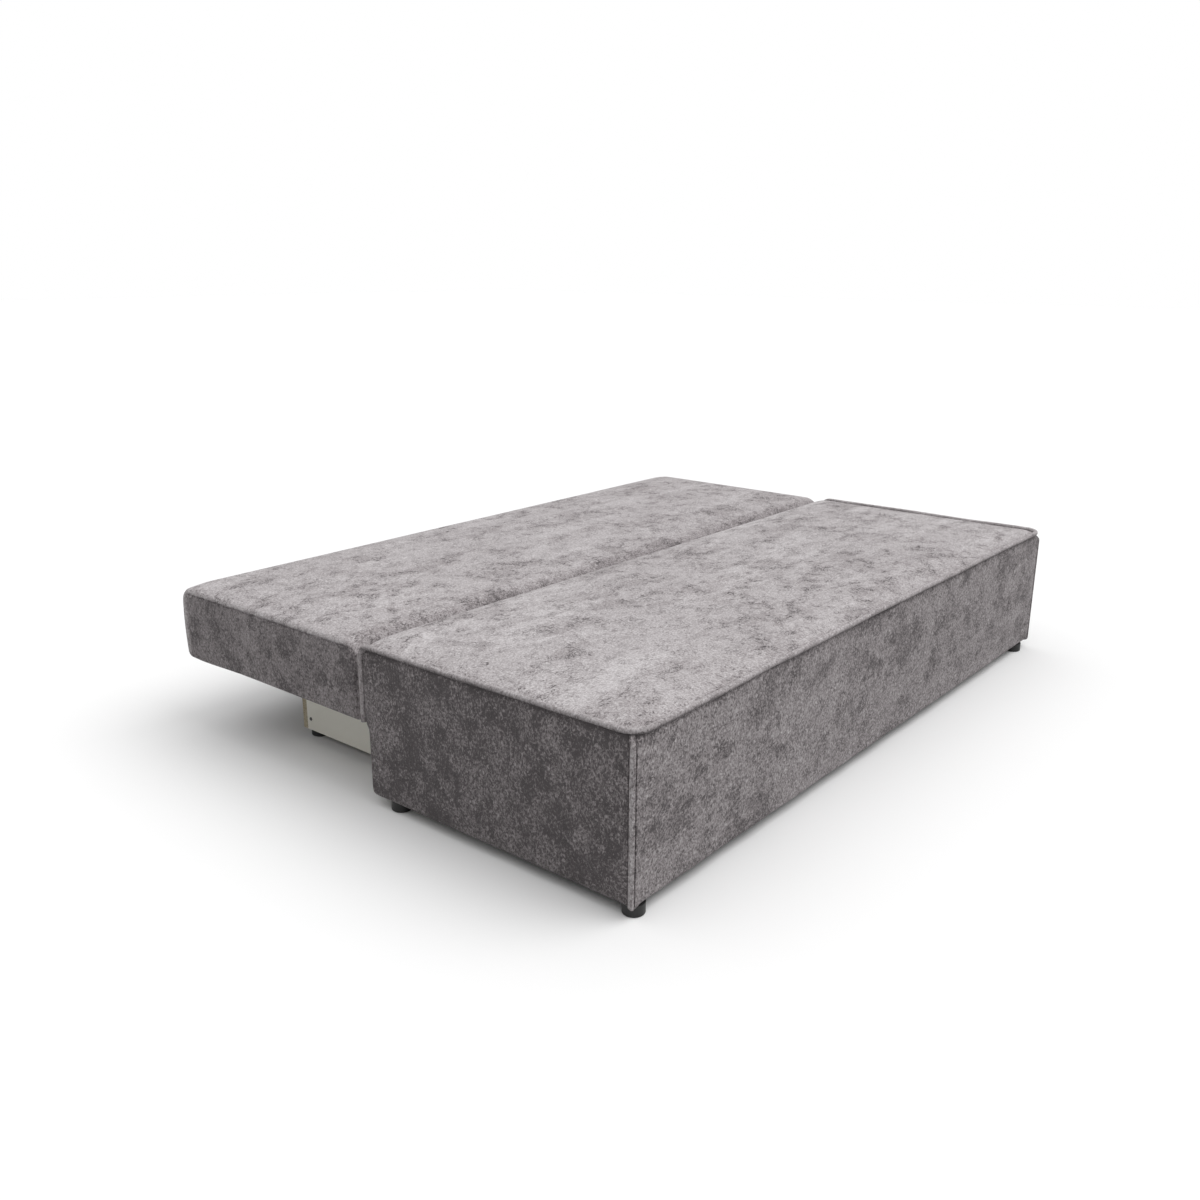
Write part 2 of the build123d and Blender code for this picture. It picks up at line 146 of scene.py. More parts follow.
def make_world():
    """A soft box as wide as the sky's upper part: bright overhead, dimmer at the horizon, white to the camera."""
    world = bpy.data.worlds.new("studio")
    bpy.context.scene.world = world
    world.use_nodes = True
    tree = world.node_tree
    tree.nodes.clear()
    place = add_node(tree, "ShaderNodeTexCoord")
    split = add_node(tree, "ShaderNodeSeparateXYZ")
    tree.links.new(place.outputs["Generated"], split.inputs[0])
    glow = add_ramp(tree, split.outputs["Z"], sky_glow)
    soft = add_node(tree, "ShaderNodeBackground", inputs={"Strength": overhead_strength})
    tree.links.new(glow, soft.inputs["Color"])
    white = add_node(tree, "ShaderNodeBackground", inputs={"Color": (1, 1, 1, 1), "Strength": 1.0})
    rays = add_node(tree, "ShaderNodeLightPath")
    chooser = add_node(tree, "ShaderNodeMixShader")
    # Mirror-like rays see the white room too, so that smooth boards and glides catch a highlight.
    white_rays = calculate(tree, "MULTIPLY_ADD", rays.outputs["Is Glossy Ray"], white_in_gloss,
                           rays.outputs["Is Camera Ray"])
    tree.links.new(white_rays, chooser.inputs[0])
    tree.links.new(soft.outputs[0], chooser.inputs[1])
    tree.links.new(white.outputs[0], chooser.inputs[2])
    out = add_node(tree, "ShaderNodeOutputWorld")
    tree.links.new(chooser.outputs[0], out.inputs[0])


def add_sun(name, toward, strength, softness):
    """A sun shining from the direction toward; softness is how wide it looks, in degrees."""
    data = bpy.data.lights.new(name, "SUN")
    data.energy = strength
    data.angle = math.radians(softness)
    lamp = bpy.data.objects.new(name, data)
    bpy.context.scene.collection.objects.link(lamp)
    lamp.rotation_euler = Vector(toward).to_track_quat("Z", "Y").to_euler()


make_world()
add_sun("front_right_window", toward=(0.32, -0.50, 0.80), strength=1.22, softness=50.0)

# %% [markdown]
# ## Surfaces from arrays
# Every soft piece below is a closed loop of points carried along a path: a table with one row per station and one
# column per point of the loop.  Faces join neighbours in the table, so one function turns any table into a mesh.

# %% Mesh from a table of points
def table_faces(rows, columns):
    """Quads between each row and the next; the columns close into a ring."""
    corner = np.arange(rows - 1)[:, None] * columns + np.arange(columns)[None, :]
    beside = np.arange(rows - 1)[:, None] * columns + (np.arange(columns)[None, :] + 1) % columns
    quads = np.stack([corner, beside, beside + columns, corner + columns], axis=-1)
    return quads.reshape(-1, 4)


def add_piece(name, points, faces, material, smooth=True):
    """One mesh object at the origin, faces as an index table, with one finish."""
    mesh = bpy.data.meshes.new(name)
    mesh.from_pydata(np.asarray(points, float).reshape(-1, 3).tolist(), [], np.asarray(faces).tolist())
    mesh.polygons.foreach_set("use_smooth", np.full(len(mesh.polygons), smooth))
    mesh.update()
    piece = bpy.data.objects.new(name, mesh)
    bpy.context.scene.collection.objects.link(piece)
    mesh.materials.append(material)
    return piece


def carried_loop(name, table, material, painted_light_marks=None):
    """A closed tube from a (stations, loop, 3) table whose first and last loops have shrunk to their middles."""
    rows, columns, _ = table.shape
    piece = add_piece(name, table, table_faces(rows, columns), material)
    if painted_light_marks is not None:
        paint_light_marks(piece, painted_light_marks.ravel())
    face_outward(piece, merge=1e-6)
    return piece


def face_outward(piece, merge=0.0):
    """Joins points nearer than merge, as at a pole, and turns every face of the closed mesh to point out."""
    work = bmesh.new()
    work.from_mesh(piece.data)
    if merge:
        bmesh.ops.remove_doubles(work, verts=work.verts, dist=merge)
    bmesh.ops.recalc_face_normals(work, faces=work.faces)
    work.to_mesh(piece.data)
    work.free()


def read_points(piece):
    """The mesh's points as an array of rows."""
    flat = np.empty(len(piece.data.vertices) * 3)
    piece.data.vertices.foreach_get("co", flat)
    return flat.reshape(-1, 3)


def write_points(piece, points):
    """Puts moved points back in the mesh."""
    piece.data.vertices.foreach_set("co", np.ascontiguousarray(points).ravel())
    piece.data.update()


def paint_light_marks(piece, values):
    """Stores one number per point, read by the fabric as painted light: below 0 painted shade, above 0 a painted
    highlight.
    """
    layer = piece.data.attributes.new("painted_light", "FLOAT", "POINT")
    layer.data.foreach_set("value", np.clip(values, -1.5, 1))


def hill(value, middle, width):
    """A bell: exp(-((value - middle) / width)^2)."""
    return np.exp(-((value - middle) / width) ** 2)


def ripple(a, b, seed, scale, waves=24):
    """Gentle unevenness: a sum of plane waves of random direction and phase, from about -1 to 1."""
    draw = np.random.default_rng(seed)
    angle = draw.uniform(0, 2 * math.pi, waves)
    phase = draw.uniform(0, 2 * math.pi, waves)
    length = scale * draw.uniform(0.5, 1.6, waves)
    turn = 2 * math.pi / length
    total = np.zeros(np.broadcast(a, b).shape)
    for way, start, rate in zip(angle, phase, turn):
        total = total + np.sin(rate * (a * math.cos(way) + b * math.sin(way)) + start)
    return total / math.sqrt(waves)


def spread(low, high, step, tight=(), tight_step=0.001, tight_reach=0.02):
    """Stations from low to high about step apart, and tight_step apart within tight_reach of the tight places."""
    even = np.linspace(low, high, max(2, int(round((high - low) / step)) + 1))
    marks = [np.array([low, high])]
    for place in tight:
        even = even[np.abs(even - place) > tight_reach]
        marks.append(np.arange(max(low, place - tight_reach), min(high, place + tight_reach) + 1e-9, tight_step))
    return np.unique(np.round(np.concatenate([even] + marks), 6))


# %% [markdown]
# ## Chenille
# Chenille is cut pile on a woven back.  The tufts lie in every direction, so light catches some and not others:
# close up that is a salt-and-pepper speckle, further off it is cloudy patches where hands have brushed the nap.
# The speckle, clouds, streaks and short creases are one group; the covers and the welt each give it their own numbers.

# %% Pattern helpers
def stretched_noise(tree, vector, scale, detail, stretch, turn=(0, 0, 0), distortion=0.0, roughness=0.5):
    """Noise on turned and stretched coordinates; a stretch below 1 draws the pattern out along that axis."""
    place = add_node(tree, "ShaderNodeMapping", inputs={"Scale": stretch, "Rotation": turn})
    tree.links.new(vector, place.inputs["Vector"])
    node = add_node(tree, "ShaderNodeTexNoise", inputs={"Scale": scale, "Detail": detail, "Distortion": distortion,
                                                        "Roughness": roughness})
    tree.links.new(place.outputs[0], node.inputs["Vector"])
    return node.outputs["Fac"]


def fit(tree, value, low, high, to_low=0.0, to_high=1.0):
    """A smooth step: to_low below low, to_high above high."""
    node = add_node(tree, "ShaderNodeMapRange", interpolation_type="SMOOTHSTEP",
                    inputs={"From Min": low, "From Max": high, "To Min": to_low, "To Max": to_high})
    tree.links.new(value, node.inputs["Value"])
    return node.outputs[0]


def start_group(name, inputs, outputs):
    """A new node group that takes a Vector and numbers by name and gives out numbers; returns its two ends too."""
    group = bpy.data.node_groups.new(name, "ShaderNodeTree")
    group.interface.new_socket("Vector", in_out="INPUT", socket_type="NodeSocketVector")
    for label, usual in inputs.items():
        group.interface.new_socket(label, in_out="INPUT", socket_type="NodeSocketFloat").default_value = usual
    for label in outputs:
        group.interface.new_socket(label, in_out="OUTPUT", socket_type="NodeSocketFloat")
    return group, add_node(group, "NodeGroupInput"), add_node(group, "NodeGroupOutput")


# %% Chenille pile group
# Scales are in repeats to the metre; depths are the shade each pattern adds or takes at full strength.
tuft_scale, patch_scale, streak_scale, crease_scale, break_scale = 325, 10.5, 9, 52, 30
speckle_depth, patch_depth, streak_depth, crease_depth = 1.7, 0.22, 0.16, 0.38
usual_tuft = 0.56


def make_pile_group():
    """Shade = base + speckle - brushed patches + light streaks - short creases in the pile; Height follows it."""
    usual = {"Base": 0.6, "Patches": 1.0, "Streaks": 0.5, "Creases": 1.0, "Speckle": 1.0}
    group, given, result = start_group("chenille_pile", usual, ("Shade", "Height"))
    vector = given.outputs["Vector"]
    # Two sets of tufts lie across each other; the higher one shows.
    tuft_a = stretched_noise(group, vector, tuft_scale, 2, (1.0, 0.5, 0.5), (0.3, 0.2, 0.6), 0.5)
    tuft_b = stretched_noise(group, vector, tuft_scale, 2, (0.5, 1.0, 0.55), (0.5, 0.9, 0.2), 0.5)
    tufts = calculate(group, "MAXIMUM", tuft_a, tuft_b)
    cloud = stretched_noise(group, vector, patch_scale, 9, (0.62, 1.0, 0.85), (0, 0, 0.1), 0.15, 0.78)
    patch = fit(group, cloud, 0.48, 0.58)
    stroke = stretched_noise(group, vector, streak_scale, 9, (0.25, 1.0, 0.8), (0, 0, 0.14), 0.2, 0.74)
    streak = fit(group, stroke, 0.49, 0.62)
    # A crease is the thin line where a noise passes its middle value, broken up and thicker in the patches.
    field = stretched_noise(group, vector, crease_scale, 3, (0.75, 1.0, 1.0), (0.3, 0.2, 0.4), 2.0, 0.6)
    away = calculate(group, "ABSOLUTE", calculate(group, "SUBTRACT", field, 0.5))
    broken = fit(group, stretched_noise(group, vector, break_scale, 3, (1, 1, 1)), 0.47, 0.58)
    clustered = calculate(group, "MULTIPLY", broken, fit(group, patch, 0.0, 1.0, 0.55, 1.0))
    crease = calculate(group, "MULTIPLY", fit(group, away, 0.010, 0.045, 1.0, 0.0), clustered)
    grain = calculate(group, "MULTIPLY", given.outputs["Speckle"], speckle_depth)
    tuft_lift = calculate(group, "SUBTRACT", tufts, usual_tuft)
    shade = calculate(group, "MULTIPLY_ADD", tuft_lift, grain, given.outputs["Base"])
    for pattern, label, depth, way in ((patch, "Patches", patch_depth, "SUBTRACT"),
                                       (streak, "Streaks", streak_depth, "ADD"),
                                       (crease, "Creases", crease_depth, "SUBTRACT")):
        amount = calculate(group, "MULTIPLY", given.outputs[label], depth)
        shade = calculate(group, way, shade, calculate(group, "MULTIPLY", pattern, amount))
    group.links.new(shade, result.inputs["Shade"])
    height = calculate(group, "SUBTRACT", tufts, calculate(group, "MULTIPLY", crease, 0.6))
    group.links.new(height, result.inputs["Height"])
    return group


pile_group = make_pile_group()
print("pile group", len(pile_group.nodes), "nodes")


# %% Material helpers
def start_material(name, **inputs):
    """A new material with one Principled shader; returns it with its node tree and the shader."""
    material = bpy.data.materials.new(name)
    material.use_nodes = True
    tree = material.node_tree
    tree.nodes.clear()
    out = add_node(tree, "ShaderNodeOutputMaterial")
    shader = add_node(tree, "ShaderNodeBsdfPrincipled", inputs=inputs)
    tree.links.new(shader.outputs[0], out.inputs[0])
    return material, tree, shader


def place_group(tree, group, vector, numbers):
    """A node group set in a material, with its vector linked and its numbers given by name."""
    node = add_node(tree, "ShaderNodeGroup")
    node.node_tree = group
    for label, value in numbers.items():
        node.inputs[label].default_value = value
    tree.links.new(vector, node.inputs["Vector"])
    return node


def add_relief(tree, shader, height, strength, distance):
    """Small bumps on the shader's normal, from a height pattern."""
    relief = add_node(tree, "ShaderNodeBump", inputs={"Strength": strength, "Distance": distance})
    tree.links.new(height, relief.inputs["Height"])
    tree.links.new(relief.outputs[0], shader.inputs["Normal"])


# %% Chenille fabrics
yarn_colours = [(0.0, (0.096, 0.086, 0.088)), (0.42, (0.300, 0.273, 0.277)), (0.62, (0.412, 0.385, 0.390)),
                (0.95, (0.600, 0.575, 0.580))]
# How far the point attribute's painted light and shade move the pile's shade.
painted_light_depth = 0.34
pile_height = 0.0018


def chenille(name, base, patches, streaks, creases, speckle=1.0):
    """The cover fabric: dark to light yarn colours by the pile's shade plus painted light from a point attribute, matt,
    with a faint velvet sheen.
    """
    material, tree, shader = start_material(name, **{
        "Roughness": 0.92, "Sheen Weight": 0.15, "Sheen Roughness": 0.5, "Sheen Tint": (0.95, 0.92, 0.93, 1.0),
        "Specular IOR Level": 0.15})
    place = add_node(tree, "ShaderNodeTexCoord")
    pile = place_group(tree, pile_group, place.outputs["Object"], {
        "Base": base, "Patches": patches, "Streaks": streaks, "Creases": creases, "Speckle": speckle})
    # The point attribute read here holds painted light: below 0 painted shade in grooves, crevices, under the welt and
    # over the end panels; above 0 a painted highlight on ridges and the welt's top.
    painted_light = add_node(tree, "ShaderNodeAttribute", attribute_name="painted_light")
    shade = calculate(tree, "MULTIPLY_ADD", painted_light.outputs["Fac"], painted_light_depth, pile.outputs["Shade"])
    tree.links.new(add_ramp(tree, shade, yarn_colours), shader.inputs["Base Color"])
    add_relief(tree, shader, pile.outputs["Height"], 0.8, pile_height)
    return material


# The walls and the welt take a lower base than the tops. This is painted shade on the same fabric.
seat_fabric = chenille("chenille_seat", 0.66, 0.75, 0.9, 1.35)
back_fabric = chenille("chenille_back", 0.65, 0.8, 0.6, 1.3)
wall_fabric_painted_shade = chenille("chenille_walls_painted_shade", 0.415, 1.05, 0.5, 0.9, speckle=1.25)
welt_fabric_painted_shade = chenille("chenille_welt_painted_shade", 0.52, 0.4, 0.1, 0.2)
print("fabrics", [m.name for m in bpy.data.materials])

# %% [markdown]
# ## Settling padded pieces
# Filling pushes a cover out until the cloth's own pull holds it.  Drawing that swell by hand looks mechanical, so the
# cover is given to the cloth solver with a little air pressure, its sewn and boxed parts pinned.
# How far a point may move is capped softly: the cloth's step d becomes cap * d / (cap + d).

# %% Cloth settling
def settle(piece, held, pressure, cap, frames=20):
    """Swells a closed cover with the cloth solver; held is 1 where a point is sewn down and 0 where it is free."""
    start = read_points(piece)
    pins = piece.vertex_groups.new(name="sewn")
    for share in np.unique(np.round(held, 1)):
        members = np.flatnonzero(np.round(held, 1) == share)
        pins.add(members.tolist(), float(share), "REPLACE")
    cloth = piece.modifiers.new("settle", "CLOTH")
    cloth.settings.use_pressure = True
    cloth.settings.uniform_pressure_force = pressure
    cloth.settings.vertex_group_mass = pins.name
    cloth.settings.effector_weights.gravity = 0.0
    cloth.settings.quality = 5
    cloth.collision_settings.use_collision = False
    cloth.point_cache.frame_start = 1
    cloth.point_cache.frame_end = frames
    for number in range(1, frames + 1):
        bpy.context.scene.frame_set(number)
    settled = piece.evaluated_get(bpy.context.evaluated_depsgraph_get())
    after = np.empty(len(piece.data.vertices) * 3)
    settled.data.vertices.foreach_get("co", after)
    piece.modifiers.remove(cloth)
    piece.vertex_groups.clear()
    bpy.context.scene.frame_set(1)
    step = after.reshape(-1, 3) - start
    size = np.linalg.norm(step, axis=1)[:, None]
    write_points(piece, start + step * cap / (cap + size))
    print(piece.name, "settled by up to", round(float((size * cap / (cap + size)).max()) * 1000, 1), "mm")


def ease(value, low, high):
    """0 below low, 1 above high, and 3t^2 - 2t^3 between."""
    share = np.clip((value - low) / (high - low), 0, 1)
    return share * share * (3 - 2 * share)


# %% [markdown]
# ## The seat's walls
# Front and ends are fabric over padded boards, sewn at the front corners with a felled seam: the allowance lies on
# the end's side, which leaves a raised band just past the corner, with a painted highlight along its middle and
# painted shade at its edges.  The end panels carry painted shade all over.
# The wall is a loop (outer face, top, inner face, hem) carried along a U-shaped path with rounded corners, so the
# corner seams are only a change in how far the outer face stands proud at each station of the path.

# %% Sizes taken from the frame
wall_low, wall_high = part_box("seat_wall_cover")
cord_low, cord_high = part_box("seat_piping")
rail_low, rail_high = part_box("seat_rear_rail")
skin_x = wall_high.x
skin_y = wall_low.y
wall_bottom = wall_low.z
wall_top = wall_high.z
seat_rear = cord_high.y
seat_top = cord_high.z
step_height = cord_low.z
rear_upper = wall_high.y
rear_lower = rail_low.y + 0.008
deck_height = rail_high.z
cord_radius = 0.00475
boarded_wall = 0.027
thin_wall = 0.0078
lower_corner = 0.006
upper_corner = 0.040
print("seat wall", round(skin_x, 4), round(skin_y, 4), round(wall_bottom, 4), round(wall_top, 4))


# %% The section of the wall
def wall_rear_edge(z):
    """Where the end panel ends: further back above the step, and curved forward at the foot."""
    step = ease(z, step_height - 0.016, step_height + 0.001)
    edge = rear_lower + (rear_upper - rear_lower) * step
    foot_round = 0.018
    depth = np.clip(1 - (z - wall_bottom) / foot_round, 0, 1)
    top_round = 0.025
    rise = np.clip((z - wall_top + top_round) / top_round, 0, 1)
    return edge - foot_round * (1 - np.sqrt(1 - depth ** 2)) - top_round * (1 - np.sqrt(1 - rise ** 2))


def wall_section():
    """The loop as rows of (inset from the skin, height, share of the outer face's relief)."""
    hem = 0.008
    lip = thin_wall / 2
    quarter = np.linspace(0, math.pi / 2, 6)
    half = np.linspace(0, math.pi, 7)[1:-1]
    outer = spread(wall_bottom + hem + 0.002, wall_top - lip, 0.012, tight=(wall_top - 0.015,), tight_step=0.003,
                   tight_reach=0.011)
    rows = [
        np.column_stack([hem * (1 - np.sin(quarter)), wall_bottom + hem * (1 - np.cos(quarter)), np.sin(quarter) ** 2]),
        np.column_stack([outer * 0, outer, outer * 0 + 1]),
        np.column_stack([lip * (1 - np.cos(half)), wall_top - lip + lip * np.sin(half), half * 0]),
        np.array([[thin_wall, wall_top - lip, 0], [thin_wall, deck_height + 0.004, 0],
                  [thin_wall + 0.001, deck_height + 0.001, 0], [boarded_wall - 0.002, deck_height, 0],
                  [boarded_wall, deck_height - 0.003, 0], [boarded_wall, 0.15, 0],
                  [boarded_wall, wall_bottom + 0.006, 0], [boarded_wall - 0.003, wall_bottom + 0.001, 0],
                  [boarded_wall - 0.008, wall_bottom, 0]]),
    ]
    return np.vstack(rows)


# %% The corner seam
# Where the band's middle lies past the corner (the end's side is negative), half its width, its height, and how deep
# the grooves beside it are.
seam_middle = -0.0046
seam_half = 0.0060
seam_height = 0.0060
groove_depth = 0.0026


def seam_grooves(along, width):
    """A bell on each side of the band."""
    return sum(hill(along, seam_middle + side * (seam_half + 0.001), width) for side in (-1, 1))


def felled_seam(along):
    """Relief by distance past the corner: height * sqrt(1 - ((along - middle) / half)^2), less the grooves."""
    band = seam_height * np.sqrt(np.clip(1 - ((along - seam_middle) / seam_half) ** 2, 0, 1))
    return band - groove_depth * seam_grooves(along, 0.0017)


# %% The walls carried along their path
panel_swell = 0.0026
welt_tuck, tuck_reach = 0.0042, 0.007
end_wave, front_wave = 0.0011, 0.0012
free_edge_round = 0.008
hem_droop = 0.006
# Painted light on the walls: painted shade over the end panels, a painted highlight along the seam's ridge, and painted
# shade in its grooves and under the welt.
end_panel_painted_shade, ridge_painted_highlight, groove_painted_shade = -0.62, 0.75, -0.9


def front_rise(x):
    """The front's top edge and its welt stand a little higher along the middle: 4 mm * (1 - (x/X)^2)."""
    return 0.004 * (1 - np.clip(x / skin_x, -1, 1) ** 2)


def make_walls():
    """The wall's loop swept from the right rear, round the front, to the left rear.  The corner's radius grows from
    6 mm to 40 mm near the top, where the welt takes the corner in a wide curve."""
    section = wall_section()
    inset, height, relief = section.T
    radius = lower_corner + (upper_corner - lower_corner) * ease(height, wall_top - 0.022, wall_top + 0.002)
    end_share = spread(0.0, 1.0, 0.018, tight=(0.0, 1.0), tight_step=0.0016, tight_reach=0.030)[:-1]
    turn = np.linspace(0, math.pi / 2, 56)
    front_share = spread(0.0, 1.0, 0.0125, tight=(1.0,), tight_step=0.001, tight_reach=0.014)[::-1][1:]
    swell = panel_swell * np.sin(math.pi * np.clip((height - wall_bottom) / (wall_top - wall_bottom), 0, 1)) * relief
    below_top = np.clip(wall_top - height, 0, 1)
    tuck = welt_tuck * np.exp(-below_top / tuck_reach) * relief
    thick = np.where(height > deck_height + 0.0005, thin_wall, boarded_wall)
    seam_share = relief * (1 - ease(height, wall_top - 0.006, wall_top - 0.001))
    corner_x = skin_x - radius
    corner_y = skin_y + radius
    arc_half = radius * math.pi / 4
    deep_corner = inset > radius
    edge = wall_rear_edge(height)
    sides = []
    past_seam = []
    for side in (1, -1):
        y_end = edge + end_share[:, None] * (corner_y - edge)
        end_along = corner_y - y_end - arc_half
        waves = end_wave * ripple(y_end, height + 0 * y_end, 11 + side, 0.17)
        swell_here = swell * ease(y_end - corner_y, 0.0, 0.05) * ease(edge - y_end, 0.0, 0.03)
        proud = felled_seam(end_along) * seam_share + swell_here + waves * relief * ease(-end_along, 0.0, 0.05) - tuck
        depth = inset - proud
        # The free rear edge is rounded: both faces run together over a short distance.
        behind = np.sqrt(1 - np.clip(1 - (edge - y_end) / free_edge_round, 0, 1) ** 2)
        shallow = np.minimum(thick / 2, free_edge_round)
        depth = np.where(depth < shallow, shallow - (shallow - depth) * behind, depth)
        deep = thick - shallow
        depth = np.where(depth > deep, deep + (depth - deep) * behind, depth)
        y_rows = np.where(deep_corner, np.maximum(y_end, skin_y + inset), y_end)
        end_rows = np.stack([skin_x - depth, y_rows, height + 0 * y_end], axis=-1)

        arc_along = (turn[:, None] - math.pi / 4) * radius
        reach = radius - (inset - felled_seam(arc_along) * seam_share + tuck)
        arc_x = np.where(deep_corner, skin_x - inset, corner_x + reach * np.cos(turn)[:, None])
        arc_y = np.where(deep_corner, skin_y + inset, corner_y - reach * np.sin(turn)[:, None])
        arc_rows = np.stack([arc_x, arc_y, height + 0 * arc_x], axis=-1)

        x_front = front_share[:, None] * corner_x
        front_along = (corner_x - x_front) + arc_half
        waves = front_wave * ripple(side * x_front, height + 0 * x_front, 7, 0.21)
        swell_here = (swell + waves * relief) * ease(front_along, 0.006, 0.06)
        proud = felled_seam(front_along) * seam_share + swell_here - tuck
        x_rows = np.where(deep_corner, np.minimum(x_front, skin_x - inset), x_front)
        front_rows = np.stack([x_rows, skin_y + inset - proud, height + 0 * x_front], axis=-1)
        rows = np.concatenate([end_rows, arc_rows, front_rows])
        rows[..., 0] *= side
        sides.append(rows)
        past_seam.append(np.concatenate([end_along, arc_along, front_along]))
    # The left side runs the other way, and shares its middle station with the right.
    table, along = (np.concatenate([right, left[::-1][1:]]) for right, left in (sides, past_seam))
    x, y, z = np.moveaxis(table, -1, 0)
    at_front = 1 - ease(y - skin_y, 0.0, 0.05)
    # The seam's bulk pulls the hem down where the two panels meet.
    droop = hem_droop * hill(skin_x - np.abs(x), 0, 0.016) * hill(y - skin_y, 0, 0.016)
    table[..., 2] = z - droop * (1 - ease(z, wall_bottom, wall_bottom + 0.04))
    table[..., 2] += front_rise(x) * at_front * ease(z, 0.2, wall_top)
    # Painted light: shade over each end panel up to the band, shade in the grooves and under the welt, a highlight on
    # the ridge.
    band_edge = seam_middle - seam_half
    wall_end_shade_mark = end_panel_painted_shade * (1 - ease(along, band_edge - 0.0015, band_edge + 0.0005))
    crevice_shade_mark = groove_painted_shade * (seam_grooves(along, 0.0022) + np.exp(-below_top / 0.006))
    ridge_highlight_mark = ridge_painted_highlight * hill(along, seam_middle + 0.0008, 0.0042)
    painted_light_marks = wall_end_shade_mark + ridge_highlight_mark + crevice_shade_mark
    return carried_loop("seat_walls", close_ends(table), wall_fabric_painted_shade, np.pad(painted_light_marks, ((1, 1), (0, 0)), mode="edge"))


def close_ends(table):
    """Adds a first and last row drawn in to the middle of the loop, which closes the ends."""
    first = np.broadcast_to(table[0].mean(axis=0), table[0].shape)[None]
    last = np.broadcast_to(table[-1].mean(axis=0), table[-1].shape)[None]
    return np.concatenate([first, table, last])


seat_walls = make_walls()
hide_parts("seat_wall_cover", "seat_wall_padding")
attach(seat_walls, "seat")
print("seat walls", len(seat_walls.data.vertices), "points")

# %% [markdown]
# ## The seat's top
# The top panel is sewn to the walls through the welt, stands a little proud of it, and rolls over the rear edge,
# where it has no welt.  Its section is a loop in Y and Z carried along X, starting a little slack, and the cloth
# solver fills it.  The boxed sides, the underside and the rear drop are pinned, because they lie against boards
# and because the back slab stands 8 mm away.

# %% The top cushion
rear_roll = 0.031
# How high the filled top stands over its sewn edge, how soon it gets there, and what its middle adds.
edge_rise, rise_reach, crown_height = 0.0120, 0.022, 0.003
lip_overhang = 0.0042


def make_cushion():
    """Rows along X of a loop: front wall, flat top, quarter-round rear roll, rear drop and underside.  The top rises
    by edge_rise * (1 - exp(-distance in / rise_reach)), and by the crown."""
    roll = rear_roll
    front = skin_y + thin_wall + 0.0002
    rear = seat_rear - 0.0004
    top = seat_top - 0.0075
    under = deck_height + 0.003
    flat = spread(front + 0.002, rear - roll, 0.0145)
    turn = np.linspace(0, math.pi / 2, 8)[1:]
    drop = spread(step_height, top - roll, 0.0145)[::-1][1:]
    below = spread(front + 0.002, rear - 0.004, 0.03)[::-1]
    section = np.vstack([
        np.column_stack([np.full(5, front), np.linspace(under + 0.002, top - 0.003, 5)]),
        np.column_stack([flat, flat * 0 + top]),
        np.column_stack([rear - roll + roll * np.sin(turn), top - roll + roll * np.cos(turn)]),
        np.column_stack([drop * 0 + rear, drop]),
        np.array([[rear - 0.0015, step_height - 0.0005], [rear - 0.0026, step_height + 0.001],
                  [rear - 0.0026, deck_height - 0.02], [rear - 0.003, deck_height]]),
        np.column_stack([below, below * 0 + under]),
    ])
    edge = skin_x - thin_wall - 0.0004
    stations = spread(-edge, edge, 0.0155, tight=(-edge, edge), tight_step=0.005, tight_reach=0.02)
    x = np.broadcast_to(stations[:, None], (len(stations), len(section))).copy()
    y = np.broadcast_to(section[:, 0], x.shape).copy()
    z = np.broadcast_to(section[:, 1], x.shape).copy()
    upper = ease(z, top - 0.06, top)
    inward = np.minimum(edge - np.abs(x), y - front)
    z += upper * (edge_rise * (1 - np.exp(-inward / rise_reach)) + crown_height * crown_share(x, y))
    z += upper * front_rise(x) * np.exp(-(y - front) / 0.12)
    # Where it meets the welt the top reaches out over the wall's lip.
    overhang = lip_overhang * ease(z, wall_top - 0.0002, top - 0.0004)
    x += np.sign(x) * overhang * (edge - np.abs(x) < 0.0005)
    y -= overhang * (y - front < 0.0025) * (z > wall_top)
    # The front corners are drawn from a square into a quarter circle: (dx, dy) times max(dx, dy) / length(dx, dy).
    past_x = np.abs(x) - (skin_x - upper_corner)
    past_y = (skin_y + upper_corner) - y
    length = np.maximum(np.hypot(past_x, past_y), 1e-9)
    shrink = np.where((past_x > 0) & (past_y > 0), np.maximum(past_x, past_y) / length, 1.0)
    x = np.where(shrink < 1, np.sign(x) * (skin_x - upper_corner + past_x * shrink), x)
    y = np.where(shrink < 1, skin_y + upper_corner - past_y * shrink, y)
    table = np.stack([x, y, z], axis=-1)
    return carried_loop("seat_cushion", close_ends(table), seat_fabric)


def crown_share(x, y):
    """1 in the middle of the top and 0 at its edges: (1 - (x/X)^4) times a half sine across the depth."""
    across = np.clip((y - skin_y) / (seat_rear - skin_y), 0, 1)
    return (1 - (x / skin_x) ** 4) * np.sin(math.pi * across) ** 0.7


seat_cushion = make_cushion()
points = read_points(seat_cushion)
inward = np.minimum(skin_x - np.abs(points[:, 0]), points[:, 1] - skin_y)
free = ease(inward, 0.012, 0.09) * ease(points[:, 2], seat_top - 0.03, seat_top - 0.004)
free *= ease(seat_rear - points[:, 1], 0.012, 0.06)
settle(seat_cushion, 1 - free, pressure=4.0, cap=0.009)


# %% Wrinkles of use on the top
long_dent, fine_dent = 0.0015, 0.0005


